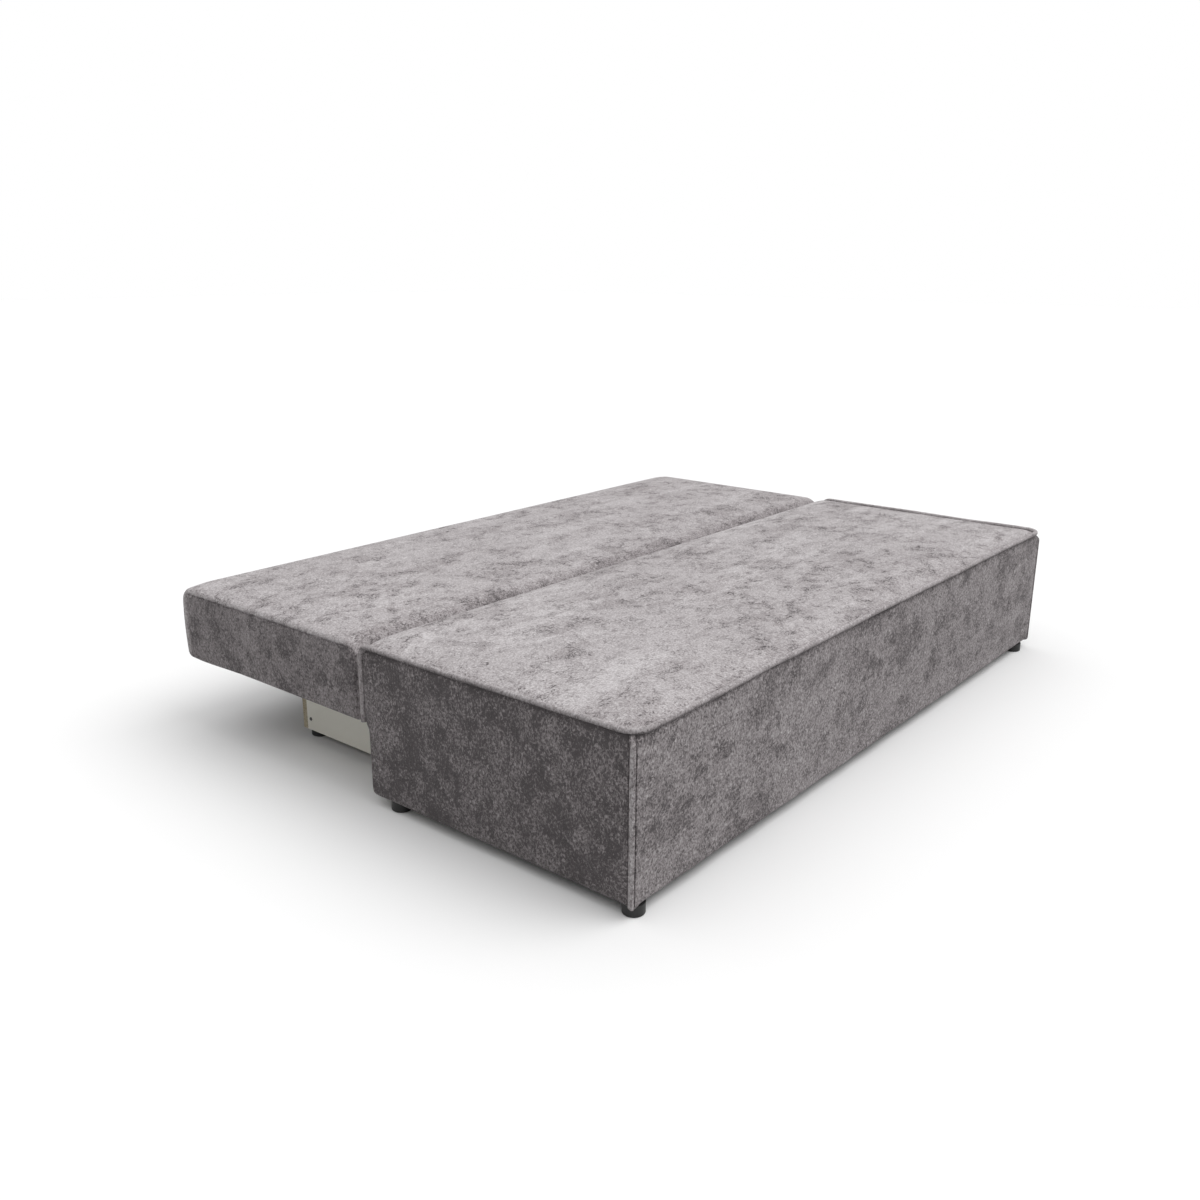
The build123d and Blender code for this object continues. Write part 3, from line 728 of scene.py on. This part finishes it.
def add_slack(piece, top, reach, seed):
    """Long shallow dents, mostly along X, and finer ones across: two ripples, weighted by how far the point is inside
    the top's edges; reach is half the length, the front edge and the rear edge."""
    points = read_points(piece)
    x, y, z = points.T
    upper = ease(z, top - 0.05, top - 0.006)
    near = np.minimum(reach[0] - np.abs(x), np.minimum(y - reach[1], reach[2] - y))
    open_cloth = upper * ease(near, 0.010, 0.10)
    dents = long_dent * ripple(x, y * 2.6, seed, 0.30) + fine_dent * ripple(x * 0.8, y, seed + 1, 0.08)
    points[:, 2] += open_cloth * dents
    write_points(piece, points)


def subdivide(piece, levels=1):
    """Applies a subdivision surface, so that later detail has enough points."""
    smoother = piece.modifiers.new("smooth", "SUBSURF")
    smoother.levels = levels
    smoother.render_levels = levels
    with bpy.context.temp_override(object=piece, active_object=piece, selected_objects=[piece]):
        bpy.ops.object.modifier_apply(modifier=smoother.name)


add_slack(seat_cushion, seat_top, (skin_x, skin_y, seat_rear), 5)
subdivide(seat_cushion)
x, y, z = read_points(seat_cushion).T
to_edge = np.minimum(skin_x - thin_wall - np.abs(x), y - skin_y - thin_wall)
# Painted shade in the crevice along the welt and over the rear roll, where the seat meets the slab.
crevice_shade_mark = 0.8 * np.exp(-np.clip(to_edge, 0, 1) / 0.005) + 0.7 * ease(y, seat_rear - 0.016, seat_rear - 0.001)
paint_light_marks(seat_cushion, -crevice_shade_mark)
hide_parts("seat_top_cover", "seat_foam")
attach(seat_cushion, "seat")
print("seat cushion", len(seat_cushion.data.vertices), "points")

# %% [markdown]
# ## The welt
# A welt is a cord wrapped in a strip of the cover fabric and caught in the seam.
# It is a circle carried along a line of straights and arcs; each ring stands across the line's own direction, and a
# low flange under the cord stands for the two layers of seam allowance.

# %% The welt round the seat
def rounded_line(corners, radii, step):
    """Points along straights joined by arcs: each arc begins radius / tan(half the corner's angle) from its corner."""
    corners = [np.array(corner, float) for corner in corners]
    points = [corners[0]]
    for before, here, after, radius in zip(corners[:-2], corners[1:-1], corners[2:], radii):
        into = (before - here) / np.linalg.norm(before - here)
        away = (after - here) / np.linalg.norm(after - here)
        half = math.acos(np.clip(np.dot(into, away), -1, 1)) / 2
        centre = here + (into + away) / np.linalg.norm(into + away) * radius / math.sin(half)
        start = here + into * radius / math.tan(half) - centre
        finish = here + away * radius / math.tan(half) - centre
        share = np.linspace(0, 1, 14)[:, None]
        sweep = math.pi - 2 * half
        points.extend(centre + (np.sin((1 - share) * sweep) * start + np.sin(share * sweep) * finish) / math.sin(sweep))
    points.append(corners[-1])
    points = np.array(points)
    lengths = np.concatenate([[0], np.cumsum(np.linalg.norm(np.diff(points, axis=0), axis=1))])
    places = np.linspace(0, lengths[-1], int(lengths[-1] / step))
    return np.column_stack([np.interp(places, lengths, points[:, axis]) for axis in range(3)])


def tube(line, radius, sides, inward):
    """Rings across the line; each ring's first axis is inward made square to the line, the second their cross."""
    along = np.gradient(line, axis=0)
    along /= np.linalg.norm(along, axis=1)[:, None]
    first = inward - (inward * along).sum(axis=1)[:, None] * along
    first /= np.linalg.norm(first, axis=1)[:, None]
    second = np.cross(along, first)
    angle = np.linspace(0, 2 * math.pi, sides, endpoint=False)
    radius = np.broadcast_to(np.asarray(radius, float), (len(line), sides))
    return line[:, None, :] + radius[..., None] * (np.cos(angle)[None, :, None] * first[:, None, :]
                                                   + np.sin(angle)[None, :, None] * second[:, None, :])


# The cover wrapped round the cord makes it thicker than the bare cord.
wrapped_cord = 1.32
cord_step = 0.005


def make_welt():
    """The cord's line sags and wanders by a millimetre and rises along the middle of the front."""
    x = cord_high.x - cord_radius
    front = cord_low.y + cord_radius
    rear = cord_high.y - cord_radius + 0.0015
    z = cord_high.z - cord_radius
    corners = [(-x, rear, step_height), (-x, rear, z), (-x, front, z), (x, front, z), (x, rear, z),
               (x, rear, step_height)]
    line = rounded_line(corners, [0.030, upper_corner - 0.0018, upper_corner - 0.0018, 0.030], cord_step)
    level = ease(line[:, 2], step_height, step_height + 0.1)
    line[:, 2] += 0.0012 * ripple(line[:, 0], line[:, 1], 3, 0.35) * level
    line[:, 2] += front_rise(line[:, 0]) * hill(line[:, 1], front, 0.06)
    sides = 16
    angle = np.linspace(0, 2 * math.pi, sides, endpoint=False)
    lumps = wrapped_cord + 0.03 * ripple(np.arange(len(line))[:, None] * cord_step, angle[None, :] * 0.004, 9, 0.022)
    # The first axis looks down and in, along the seam allowance.
    inward = np.column_stack([-np.sign(line[:, 0]), line[:, 0] * 0 + 0.2, line[:, 0] * 0 - 1.4])
    flange = 1 + 0.5 * np.exp(-(np.minimum(angle, 2 * math.pi - angle) / 0.35) ** 2)
    piece = carried_loop("seat_welt", close_ends(tube(line, cord_radius * lumps * flange, sides, inward)), welt_fabric_painted_shade)
    # Painted light on the welt: a painted highlight along its top and painted shade along its underside, where it
    # stands over the wall.
    points = read_points(piece)
    above = points[:, 2] - (z + front_rise(points[:, 0]) * hill(points[:, 1], front, 0.06))
    level_run = ease(points[:, 2], z - 0.012, z - 0.006)
    paint_light_marks(piece, level_run * (0.25 * ease(above, 0.0, 0.004) - 0.9 * ease(-above, 0.0005, 0.004)))
    return piece


seat_welt = make_welt()
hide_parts("seat_piping")
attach(seat_welt, "seat")
print("welt", len(seat_welt.data.vertices), "points")

# %% [markdown]
# ## The back slab
# The back is a plain upholstered block: softly rolled along its length, with a flat end panel let in by a thin seam.
# Its section is a rounded rectangle in Y and Z, carried along X.  Near each end the loop draws in over a small
# radius, and rings inside that fill the end panel.  The underside is let in a little for the lining.

# %% The slab's section and stations
back_low, back_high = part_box("back_cover")
lining_low, lining_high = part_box("back_lining")
end_roll = 0.013


def slab_section():
    """The loop in Y and Z: four straights and four quarter circles of their own radii, walked at even steps."""
    near, far, low, high = back_low.y, back_high.y, back_low.z, back_high.z
    corners = [(near, low, 0.015, 180), (far, low, 0.018, 270), (far, high, 0.034, 0), (near, high, 0.048, 90)]
    arcs = []
    for y, z, radius, start in corners:
        angle = np.radians(start + np.linspace(0, 90, 9))
        centre_y = y + radius if y == near else y - radius
        centre_z = z + radius if z == low else z - radius
        arcs.append(np.column_stack([centre_y + radius * np.cos(angle), centre_z + radius * np.sin(angle)]))
    outline = np.vstack(arcs + [arcs[0][:1]])
    lengths = np.concatenate([[0], np.cumsum(np.linalg.norm(np.diff(outline, axis=0), axis=1))])
    places = spread(0, lengths[-1], 0.0145)[:-1]
    inside = [(lining_low.y - outline[8, 0]) + lengths[8], (lining_high.y - outline[8, 0]) + lengths[8]]
    extra = np.concatenate([np.array(inside) + shift for shift in (-0.003, 0.0, 0.003)])
    places = np.unique(np.round(np.concatenate([places, lengths[:-1], extra]), 5))
    keep = np.concatenate([[True], np.diff(places) > 0.0012])
    places = places[keep]
    return np.column_stack([np.interp(places, lengths, outline[:, axis]) for axis in range(2)])


def underside_sag(y):
    """How far the underside hangs: nothing over the base box, 5 mm at the rear edge."""
    return 0.005 * ease(y, 0.46, 0.66)


def slab_rows():
    """Rows from one end to the other: (x, how far the loop is drawn in as a length, as a share to the middle)."""
    half = back_high.x
    rows = [(-half, end_roll, share) for share in (0.985, 0.93, 0.84, 0.72, 0.58, 0.43, 0.28, 0.15, 0.06, 0.03)]
    rows += [(-half, end_roll + extra, 0.0) for extra in (0.009, 0.006, 0.0045, 0.003, 0.0018, 0.0006)]
    turn = np.linspace(0, math.pi / 2, 7)
    rows += [(-half + end_roll * (1 - math.cos(angle)), end_roll * (1 - math.sin(angle)), 0.0) for angle in turn]
    inner = spread(-half + end_roll, half - end_roll, 0.0155, tight=(-lining_high.x, lining_high.x),
                   tight_step=0.0025, tight_reach=0.0055)
    middle = [(x, 0.0, 0.0) for x in inner[1:-1]]
    return np.array(rows + middle + [(-x, drawn, share) for x, drawn, share in rows[::-1]])


def make_back_slab():
    """Point = loop drawn in square to itself by a length, then towards the loop's middle by a share."""
    section = slab_section()
    tangent = np.roll(section, -1, axis=0) - np.roll(section, 1, axis=0)
    square = np.column_stack([-tangent[:, 1], tangent[:, 0]])
    square /= np.linalg.norm(square, axis=1)[:, None]
    middle = np.array([(back_low.y + back_high.y) / 2, (back_low.z + back_high.z) / 2])
    rows = slab_rows()
    drawn = rows[:, 1][:, None, None]
    share = rows[:, 2][:, None, None]
    # The rear end of the panel is let in further, because its seam stands well inside the rolled corner.
    deeper = 1 + 0.7 * ease(section[:, 0], back_high.y - 0.06, back_high.y - 0.02)[None, :, None]
    loop = section[None] + square[None] * drawn * deeper
    loop = loop + (middle - loop) * share
    x = np.broadcast_to(rows[:, 0][:, None], loop.shape[:2]).copy()
    table = np.stack([x, loop[..., 0], loop[..., 1]], axis=-1)
    y, z = table[..., 1], table[..., 2]
    half = back_high.x
    # The top swells quickly in from the ends and slowly to the middle, and dips towards the crease.
    across = np.clip((y - back_low.y) / (back_high.y - back_low.y), 0, 1)
    upper = ease(z, back_high.z - 0.10, back_high.z - 0.01)
    inward = ease(half - np.abs(x), 0.0, 0.07)
    table[..., 2] += upper * (0.004 + 0.005 * np.sin(math.pi * across) ** 0.6) * inward
    # The rear face bellies out, and the underside hangs a little towards it.
    belly = np.sin(math.pi * np.clip((z - back_low.z) / (back_high.z - back_low.z), 0, 1)) ** 0.8
    table[..., 1] += 0.008 * belly * ease(across, 0.93, 0.99)
    table[..., 2] -= underside_sag(y) * (1 - ease(z, back_low.z + 0.01, back_low.z + 0.09))
    inside = (ease(lining_high.x - np.abs(x), -0.002, 0.001) * ease(y - lining_low.y, -0.002, 0.001)
              * ease(lining_high.y - y, -0.002, 0.001) * (z < back_low.z + 0.01))
    table[..., 2] += 0.0042 * inside
    return carried_loop("back_slab", close_ends(table), back_fabric)


back_slab = make_back_slab()
print("back slab starts with", len(back_slab.data.vertices), "points")

# %% Fill the slab
points = read_points(back_slab)
x, y, z = points.T
free = ease(z, back_high.z - 0.05, back_high.z - 0.02) * ease(back_high.x - np.abs(x), 0.012, 0.09)
free *= ease(np.minimum(y - back_low.y, back_high.y - y), 0.015, 0.09)
settle(back_slab, 1 - free, pressure=4.0, cap=0.009)
add_slack(back_slab, back_high.z, (back_high.x, back_low.y, back_high.y), 15)
subdivide(back_slab)


# %% The end panels' seam, puckers and pillow
seam_inset = 0.0012
panel_groove, panel_pillow, pucker_depth, low_pucker_depth = 0.0022, 0.0030, 0.0006, 0.0009


def panel_rim(y, z):
    """How far a point of the end lies inside its edge: the nearer of the top and, drawn closer by 1.55, the rear."""
    return np.minimum(back_high.z + 0.0005 - z, (back_high.y - y) / 1.55)


def dress_end_panels(piece):
    """Inside the end roll the panel swells by a few millimetres; the seam is a groove at a set distance in, with
    puckers along it: a short cosine along the seam whose depth fades over 10 mm."""
    points = read_points(piece)
    x, y, z = points.T
    half = back_high.x
    at_end = ease(np.abs(x), half - 0.004, half - 0.0005)
    inside = panel_rim(y, z) - end_roll
    seamed = ease(z - back_low.z, 0.02, 0.06)
    groove = panel_groove * hill(inside, seam_inset, 0.0018) * seamed
    pillow = panel_pillow * np.clip(inside / 0.05, 0, 1) ** 0.6
    pulled = np.cos((y + z) * 2 * math.pi / 0.017 + 3 * np.sin(y * 40))
    pucker = pucker_depth * pulled * np.exp(-np.abs(inside) / 0.010)
    low_pucker = low_pucker_depth * ripple(y, z * 0.3, 31, 0.035) * np.exp(-(z - back_low.z) / 0.030)
    points[:, 0] += np.sign(x) * at_end * (pillow + pucker * seamed + low_pucker - groove)
    write_points(piece, points)


dress_end_panels(back_slab)
print("end panels dressed")

# %% Arm pockets in the slab
box_faces = np.array([[0, 1, 3, 2], [4, 6, 7, 5], [0, 4, 5, 1], [2, 3, 7, 6], [0, 2, 6, 4], [1, 5, 7, 3]])


def box_points(low, high):
    """The eight corners of a box, in the order that box_faces names them."""
    return np.array([[x, y, z] for x in (low[0], high[0]) for y in (low[1], high[1]) for z in (low[2], high[2])])


def pocket_cutter(name, side, low, high):
    """A closed box on the right (side 1) or, mirrored, on the left (side -1)."""
    cutter = add_piece(name, box_points(low, high) * (side, 1, 1), box_faces, back_fabric, smooth=False)
    face_outward(cutter)
    return cutter


def cut_away(piece, cutters):
    """Takes closed shapes out of a closed piece, and removes the cutters."""
    for cutter in cutters:
        knife = piece.modifiers.new("cut", "BOOLEAN")
        knife.operation = "DIFFERENCE"
        knife.solver = "EXACT"
        knife.object = cutter
        with bpy.context.temp_override(object=piece, active_object=piece, selected_objects=[piece]):
            bpy.ops.object.modifier_apply(modifier=knife.name)
        bpy.data.objects.remove(cutter)


# A pocket runs from the slot stile's outer face to the hinge plate's, and as far as the foam's own slot.
pocket_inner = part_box("back_slot_stile_right")[1].x
pocket_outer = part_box("back_hinge_plate_right")[1].x
foam_points = read_points(nodes["back_foam"])
in_pocket = np.abs(foam_points[:, 0] - pocket_inner) < 0.0005
pocket_far = float(foam_points[in_pocket, 1].max())
pocket_top = float(foam_points[in_pocket, 2].max())
print("pocket", round(pocket_inner, 4), round(pocket_outer, 4), "to y", round(pocket_far, 4), "z", round(pocket_top, 4))
cutters = [pocket_cutter("pocket_" + word, side, (pocket_inner, back_low.y - 0.02, back_low.z - 0.02),
                         (pocket_outer, pocket_far, pocket_top)) for side, word in ((-1, "left"), (1, "right"))]
cut_away(back_slab, cutters)
x, y, z = read_points(back_slab).T
rim = panel_rim(y, z)
# Painted shade in the end panels' seam groove, on the near roll down into the crease with the seat, and over the whole
# of each end panel.
on_seam = hill(rim, end_roll + seam_inset, 0.0024) * ease(np.abs(x), back_high.x - 0.006, back_high.x - 0.001)
crease = (1 - ease(y, back_low.y + 0.010, back_low.y + 0.055)) * ease(z, back_low.z + 0.05, back_low.z + 0.09)
slab_end_shade_mark = 1.02 * ease(rim, end_roll, end_roll + 0.003) * ease(np.abs(x), back_high.x - 0.008, back_high.x - 0.002)
paint_light_marks(back_slab, -0.6 * on_seam * ease(z, back_low.z + 0.02, back_low.z + 0.06) - 0.55 * crease - slab_end_shade_mark)
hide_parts("back_cover", "back_foam", "back_edge_padding")
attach(back_slab, "back")
print("back slab", len(back_slab.data.vertices), "points")

# %% [markdown]
# ## The lining under the back
# A thin non-woven sheet is stretched over the back's underside, its edge turned in and stapled every few
# centimetres.  Between staples it scallops a little.  It is one flat grid of points, cut short where the arms pass,
# and given its thickness afterwards.

# %% Lining and staples
staple_pitch = 0.045
notch_spare = 0.003
notch_inner = pocket_inner - notch_spare
notch_outer = pocket_outer + notch_spare
notch_far = pocket_far + notch_spare


def in_lining(x, y):
    """1 where the sheet is kept: outside the two notches that the arm pockets need."""
    return ~((np.abs(x) > notch_inner) & (np.abs(x) < notch_outer) & (y < notch_far))


def make_lining(material):
    """A grid with lines at the notches' sides; height falls between staples as a raised cosine near the edge."""
    half = lining_high.x - 0.001
    near = lining_low.y + 0.001
    far = lining_high.y - 0.001
    lines = [-notch_outer, -notch_inner, notch_inner, notch_outer]
    xs = np.unique(np.concatenate([np.linspace(-half, half, 121), lines]))
    ys = np.unique(np.concatenate([np.linspace(near, far, 39), [notch_far]]))
    x, y = np.meshgrid(xs, ys, indexing="ij")
    edge = np.minimum(half - np.abs(x), np.minimum(y - near, far - y))
    scallop = 0.0007 * (1 - np.cos(2 * math.pi * (x + y) / staple_pitch)) * np.exp(-edge / 0.02)
    z = lining_low.z + 0.0004 + scallop + 0.0004 * ripple(x, y, 41, 0.12) * ease(edge, 0.0, 0.05) - underside_sag(y)
    index = np.arange(x.size).reshape(x.shape)
    quads = np.stack([index[:-1, :-1], index[:-1, 1:], index[1:, 1:], index[1:, :-1]], axis=-1).reshape(-1, 4)
    middle_x = (x[:-1, :-1] + x[1:, 1:]).ravel() / 2
    middle_y = (y[:-1, :-1] + y[1:, 1:]).ravel() / 2
    quads = quads[in_lining(middle_x, middle_y)]
    used, quads = np.unique(quads, return_inverse=True)
    points = np.stack([x, y, z], axis=-1).reshape(-1, 3)[used]
    piece = add_piece("underside_lining", points, quads.reshape(-1, 4), material)
    shell = piece.modifiers.new("cloth_thickness", "SOLIDIFY")
    shell.thickness = 0.0004
    shell.offset = 0.0
    return piece


def make_staples(material):
    """Wire staples as flat bars, one for each pitch along the four sides of the lining."""
    inset = 0.008
    half = lining_high.x - inset
    near = lining_low.y + inset
    far = lining_high.y - inset
    along_x = np.arange(-half + 0.02, half - 0.02, staple_pitch)
    along_y = np.arange(near + 0.02, far - 0.02, staple_pitch)
    spots = [(x, y, 0) for y in (near, far) for x in along_x if in_lining(np.array(x), np.array(y))]
    spots += [(x, y, 1) for x in (-half, half) for y in along_y]
    spots = np.array(spots)
    long, wide, thick = 0.0052, 0.0006, 0.0006
    bar = box_points((-long, -wide, 0.0), (long, wide, -thick))
    turned = bar[:, [1, 0, 2]]
    shapes = np.where(spots[:, 2][:, None, None] > 0, turned[None], bar[None])
    points = shapes + np.column_stack([spots[:, :2], lining_low.z + 0.0002 - underside_sag(spots[:, 1])])[:, None, :]
    faces = (box_faces[None] + 8 * np.arange(len(spots))[:, None, None]).reshape(-1, 4)
    piece = add_piece("lining_staples", points, faces, material, smooth=False)
    face_outward(piece)
    return piece


# %% [markdown]
# ## Plain finishes
# Hard parts keep the frame's shapes and take a procedural finish each: a colour broken up by noise at the scale of
# the real stuff, a roughness that varies with it, and a little relief.
# One group makes the break-up, so that each finish only says its colours, scale and stretch.

# %% Break-up group
def make_breakup_group():
    """Outputs Mix, a 0 to 1 mask of coarse and fine noise, and Height; inputs Vector, Coarse, Fine and Share."""
    usual = {"Coarse": 8.0, "Fine": 200.0, "Share": 0.5}
    group, given, result = start_group("surface_breakup", usual, ("Mix", "Height"))
    coarse = add_node(group, "ShaderNodeTexNoise", inputs={"Detail": 5.0, "Roughness": 0.6, "Distortion": 0.4})
    fine = add_node(group, "ShaderNodeTexNoise", inputs={"Detail": 3.0, "Roughness": 0.6})
    for node, label in ((coarse, "Coarse"), (fine, "Fine")):
        group.links.new(given.outputs["Vector"], node.inputs["Vector"])
        group.links.new(given.outputs[label], node.inputs["Scale"])
    rest = calculate(group, "SUBTRACT", 1.0, given.outputs["Share"])
    both = calculate(group, "ADD", calculate(group, "MULTIPLY", fine.outputs["Fac"], given.outputs["Share"]),
                     calculate(group, "MULTIPLY", coarse.outputs["Fac"], rest))
    group.links.new(both, result.inputs["Mix"])
    group.links.new(fine.outputs["Fac"], result.inputs["Height"])
    return group


breakup_group = make_breakup_group()
print("break-up group", len(breakup_group.nodes), "nodes")


def plain_finish(name, dark, light, coarse, fine, share=0.5, stretch=(1, 1, 1), rough=(0.45, 0.65), bump=0.0002,
                 metallic=0.0, spots=None, specular=0.5):
    """A material whose colour and roughness follow the break-up; spots=(scale, colour, size) adds chips or flakes."""
    material, tree, shader = start_material(name, **{"Metallic": metallic, "Specular IOR Level": specular})
    place = add_node(tree, "ShaderNodeTexCoord")
    mapping = add_node(tree, "ShaderNodeMapping", inputs={"Scale": stretch})
    tree.links.new(place.outputs["Object"], mapping.inputs["Vector"])
    broken = place_group(tree, breakup_group, mapping.outputs[0], {"Coarse": coarse, "Fine": fine, "Share": share})
    colour = add_ramp(tree, broken.outputs["Mix"], [(0.34, dark), (0.66, light)])
    if spots:
        scale, spot_colour, size = spots
        flakes = add_node(tree, "ShaderNodeTexVoronoi", inputs={"Scale": scale, "Randomness": 1.0})
        tree.links.new(mapping.outputs[0], flakes.inputs["Vector"])
        tone = add_ramp(tree, flakes.outputs["Color"], [(0.3, 0.0), (0.9, size)])
        colour = blend_colours(tree, tone, colour, spot_colour)
    tree.links.new(colour, shader.inputs["Base Color"])
    roughness = add_node(tree, "ShaderNodeMapRange", inputs={"From Min": 0.3, "From Max": 0.7, "To Min": rough[0],
                                                             "To Max": rough[1]})
    tree.links.new(broken.outputs["Mix"], roughness.inputs["Value"])
    tree.links.new(roughness.outputs[0], shader.inputs["Roughness"])
    add_relief(tree, shader, broken.outputs["Height"], 0.6, bump)
    return material


# %% The finishes
finishes = {
    "laminate": plain_finish("laminate", (0.91, 0.885, 0.785), (0.95, 0.93, 0.835), 6, 500, 0.35,
                             rough=(0.28, 0.38), bump=0.00006, specular=0.7),
    "chipboard": plain_finish("chipboard", (0.38, 0.32, 0.22), (0.56, 0.49, 0.36), 40, 300, 0.5, stretch=(1, 1, 1.6),
                              rough=(0.75, 0.95), bump=0.0006, spots=(260, (0.66, 0.59, 0.45), 0.8), specular=0.2),
    "hardboard": plain_finish("hardboard", (0.16, 0.085, 0.04), (0.27, 0.155, 0.08), 14, 700, 0.6,
                              rough=(0.6, 0.85), bump=0.0002, specular=0.3),
    "pine": plain_finish("pine", (0.47, 0.30, 0.145), (0.66, 0.47, 0.27), 9, 90, 0.4, stretch=(0.12, 1.0, 1.0),
                         rough=(0.55, 0.8), bump=0.0003, specular=0.3),
    "foot_plastic": plain_finish("foot_plastic", (0.006, 0.006, 0.006), (0.016, 0.016, 0.016), 30, 900, 0.5,
                                 rough=(0.35, 0.55), bump=0.00008),
    "cap_plastic": plain_finish("cap_plastic", (0.05, 0.05, 0.045), (0.09, 0.085, 0.08), 60, 900, 0.5,
                                rough=(0.35, 0.5), bump=0.00005),
    "nylon": plain_finish("nylon", (0.62, 0.61, 0.57), (0.76, 0.75, 0.71), 30, 700, 0.4, rough=(0.3, 0.5),
                          bump=0.00005),
    "zinc_steel": plain_finish("zinc_steel", (0.42, 0.43, 0.44), (0.66, 0.67, 0.67), 60, 500, 0.3, stretch=(1, 1, 0.3),
                               rough=(0.28, 0.5), bump=0.00004, metallic=1.0),
    "black_steel": plain_finish("black_steel", (0.012, 0.012, 0.013), (0.035, 0.035, 0.037), 25, 900, 0.5,
                                rough=(0.35, 0.6), bump=0.0001),
    "felt": plain_finish("felt", (0.10, 0.10, 0.105), (0.20, 0.20, 0.205), 30, 1200, 0.7, rough=(0.9, 1.0),
                         bump=0.0006, specular=0.1),
    "lining": plain_finish("lining", (0.055, 0.055, 0.058), (0.11, 0.11, 0.115), 25, 1400, 0.65, rough=(0.8, 0.95),
                           bump=0.0003, specular=0.15),
    "webbing": plain_finish("webbing", (0.06, 0.05, 0.04), (0.30, 0.26, 0.21), 900, 260, 0.8, stretch=(1.0, 0.25, 1.0),
                            rough=(0.75, 0.95), bump=0.0005, specular=0.2),
    "foam": plain_finish("foam", (0.66, 0.58, 0.36), (0.78, 0.71, 0.48), 20, 900, 0.6, rough=(0.85, 1.0), bump=0.0006,
                         specular=0.1),
    "wadding": plain_finish("wadding", (0.70, 0.70, 0.68), (0.86, 0.86, 0.84), 30, 300, 0.6, rough=(0.9, 1.0),
                            bump=0.001, specular=0.1),
    "chenille": wall_fabric_painted_shade,
    "welt": welt_fabric_painted_shade,
}
slot_of = {part["node"]: part["material_slot"] for part in frame["record"]["subparts"]}
for node_name, node_object in nodes.items():
    finish = finishes[slot_of[node_name]]
    if node_object.data.materials:
        for socket in node_object.material_slots:
            socket.material = finish
    else:
        node_object.data.materials.append(finish)
print("finished", len(nodes), "nodes with", len(finishes), "materials")

# %% [markdown]
# ## Lining in place
# The lining replaces the frame's plain sheet, cut to the turned-in window of the cover.

# %% Place the lining
underside_lining = make_lining(finishes["lining"])
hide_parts("back_lining")
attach(underside_lining, "back")
lining_staples = make_staples(finishes["zinc_steel"])
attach(lining_staples, "back")

# %% [markdown]
# ## Floor
# A pale floor catches the soft shadow.  It isn't part of the bed.

# %% Floor
# The floor's grey as it is seen, and the darker grey by which it lights the bed from below.
floor_seen, floor_bounce = (0.89, 0.89, 0.89), (0.50, 0.50, 0.50)


def make_floor():
    """One large square whose colour is even, so that only the bed's shadow shows."""
    half = 30.0
    material = bpy.data.materials.new("studio_floor")
    material.use_nodes = True
    tree = material.node_tree
    shader = tree.nodes["Principled BSDF"]
    shader.inputs["Roughness"].default_value = 0.9
    shader.inputs["Specular IOR Level"].default_value = 0.1
    rays = add_node(tree, "ShaderNodeLightPath")
    colour = blend_colours(tree, rays.outputs["Is Diffuse Ray"], floor_seen, floor_bounce)
    tree.links.new(colour, shader.inputs["Base Color"])
    corners = [(-half, -half, 0), (half, -half, 0), (half, half, 0), (-half, half, 0)]
    floor = add_piece("floor", np.array(corners), np.array([[0, 1, 2, 3]]), material, smooth=False)


make_floor()
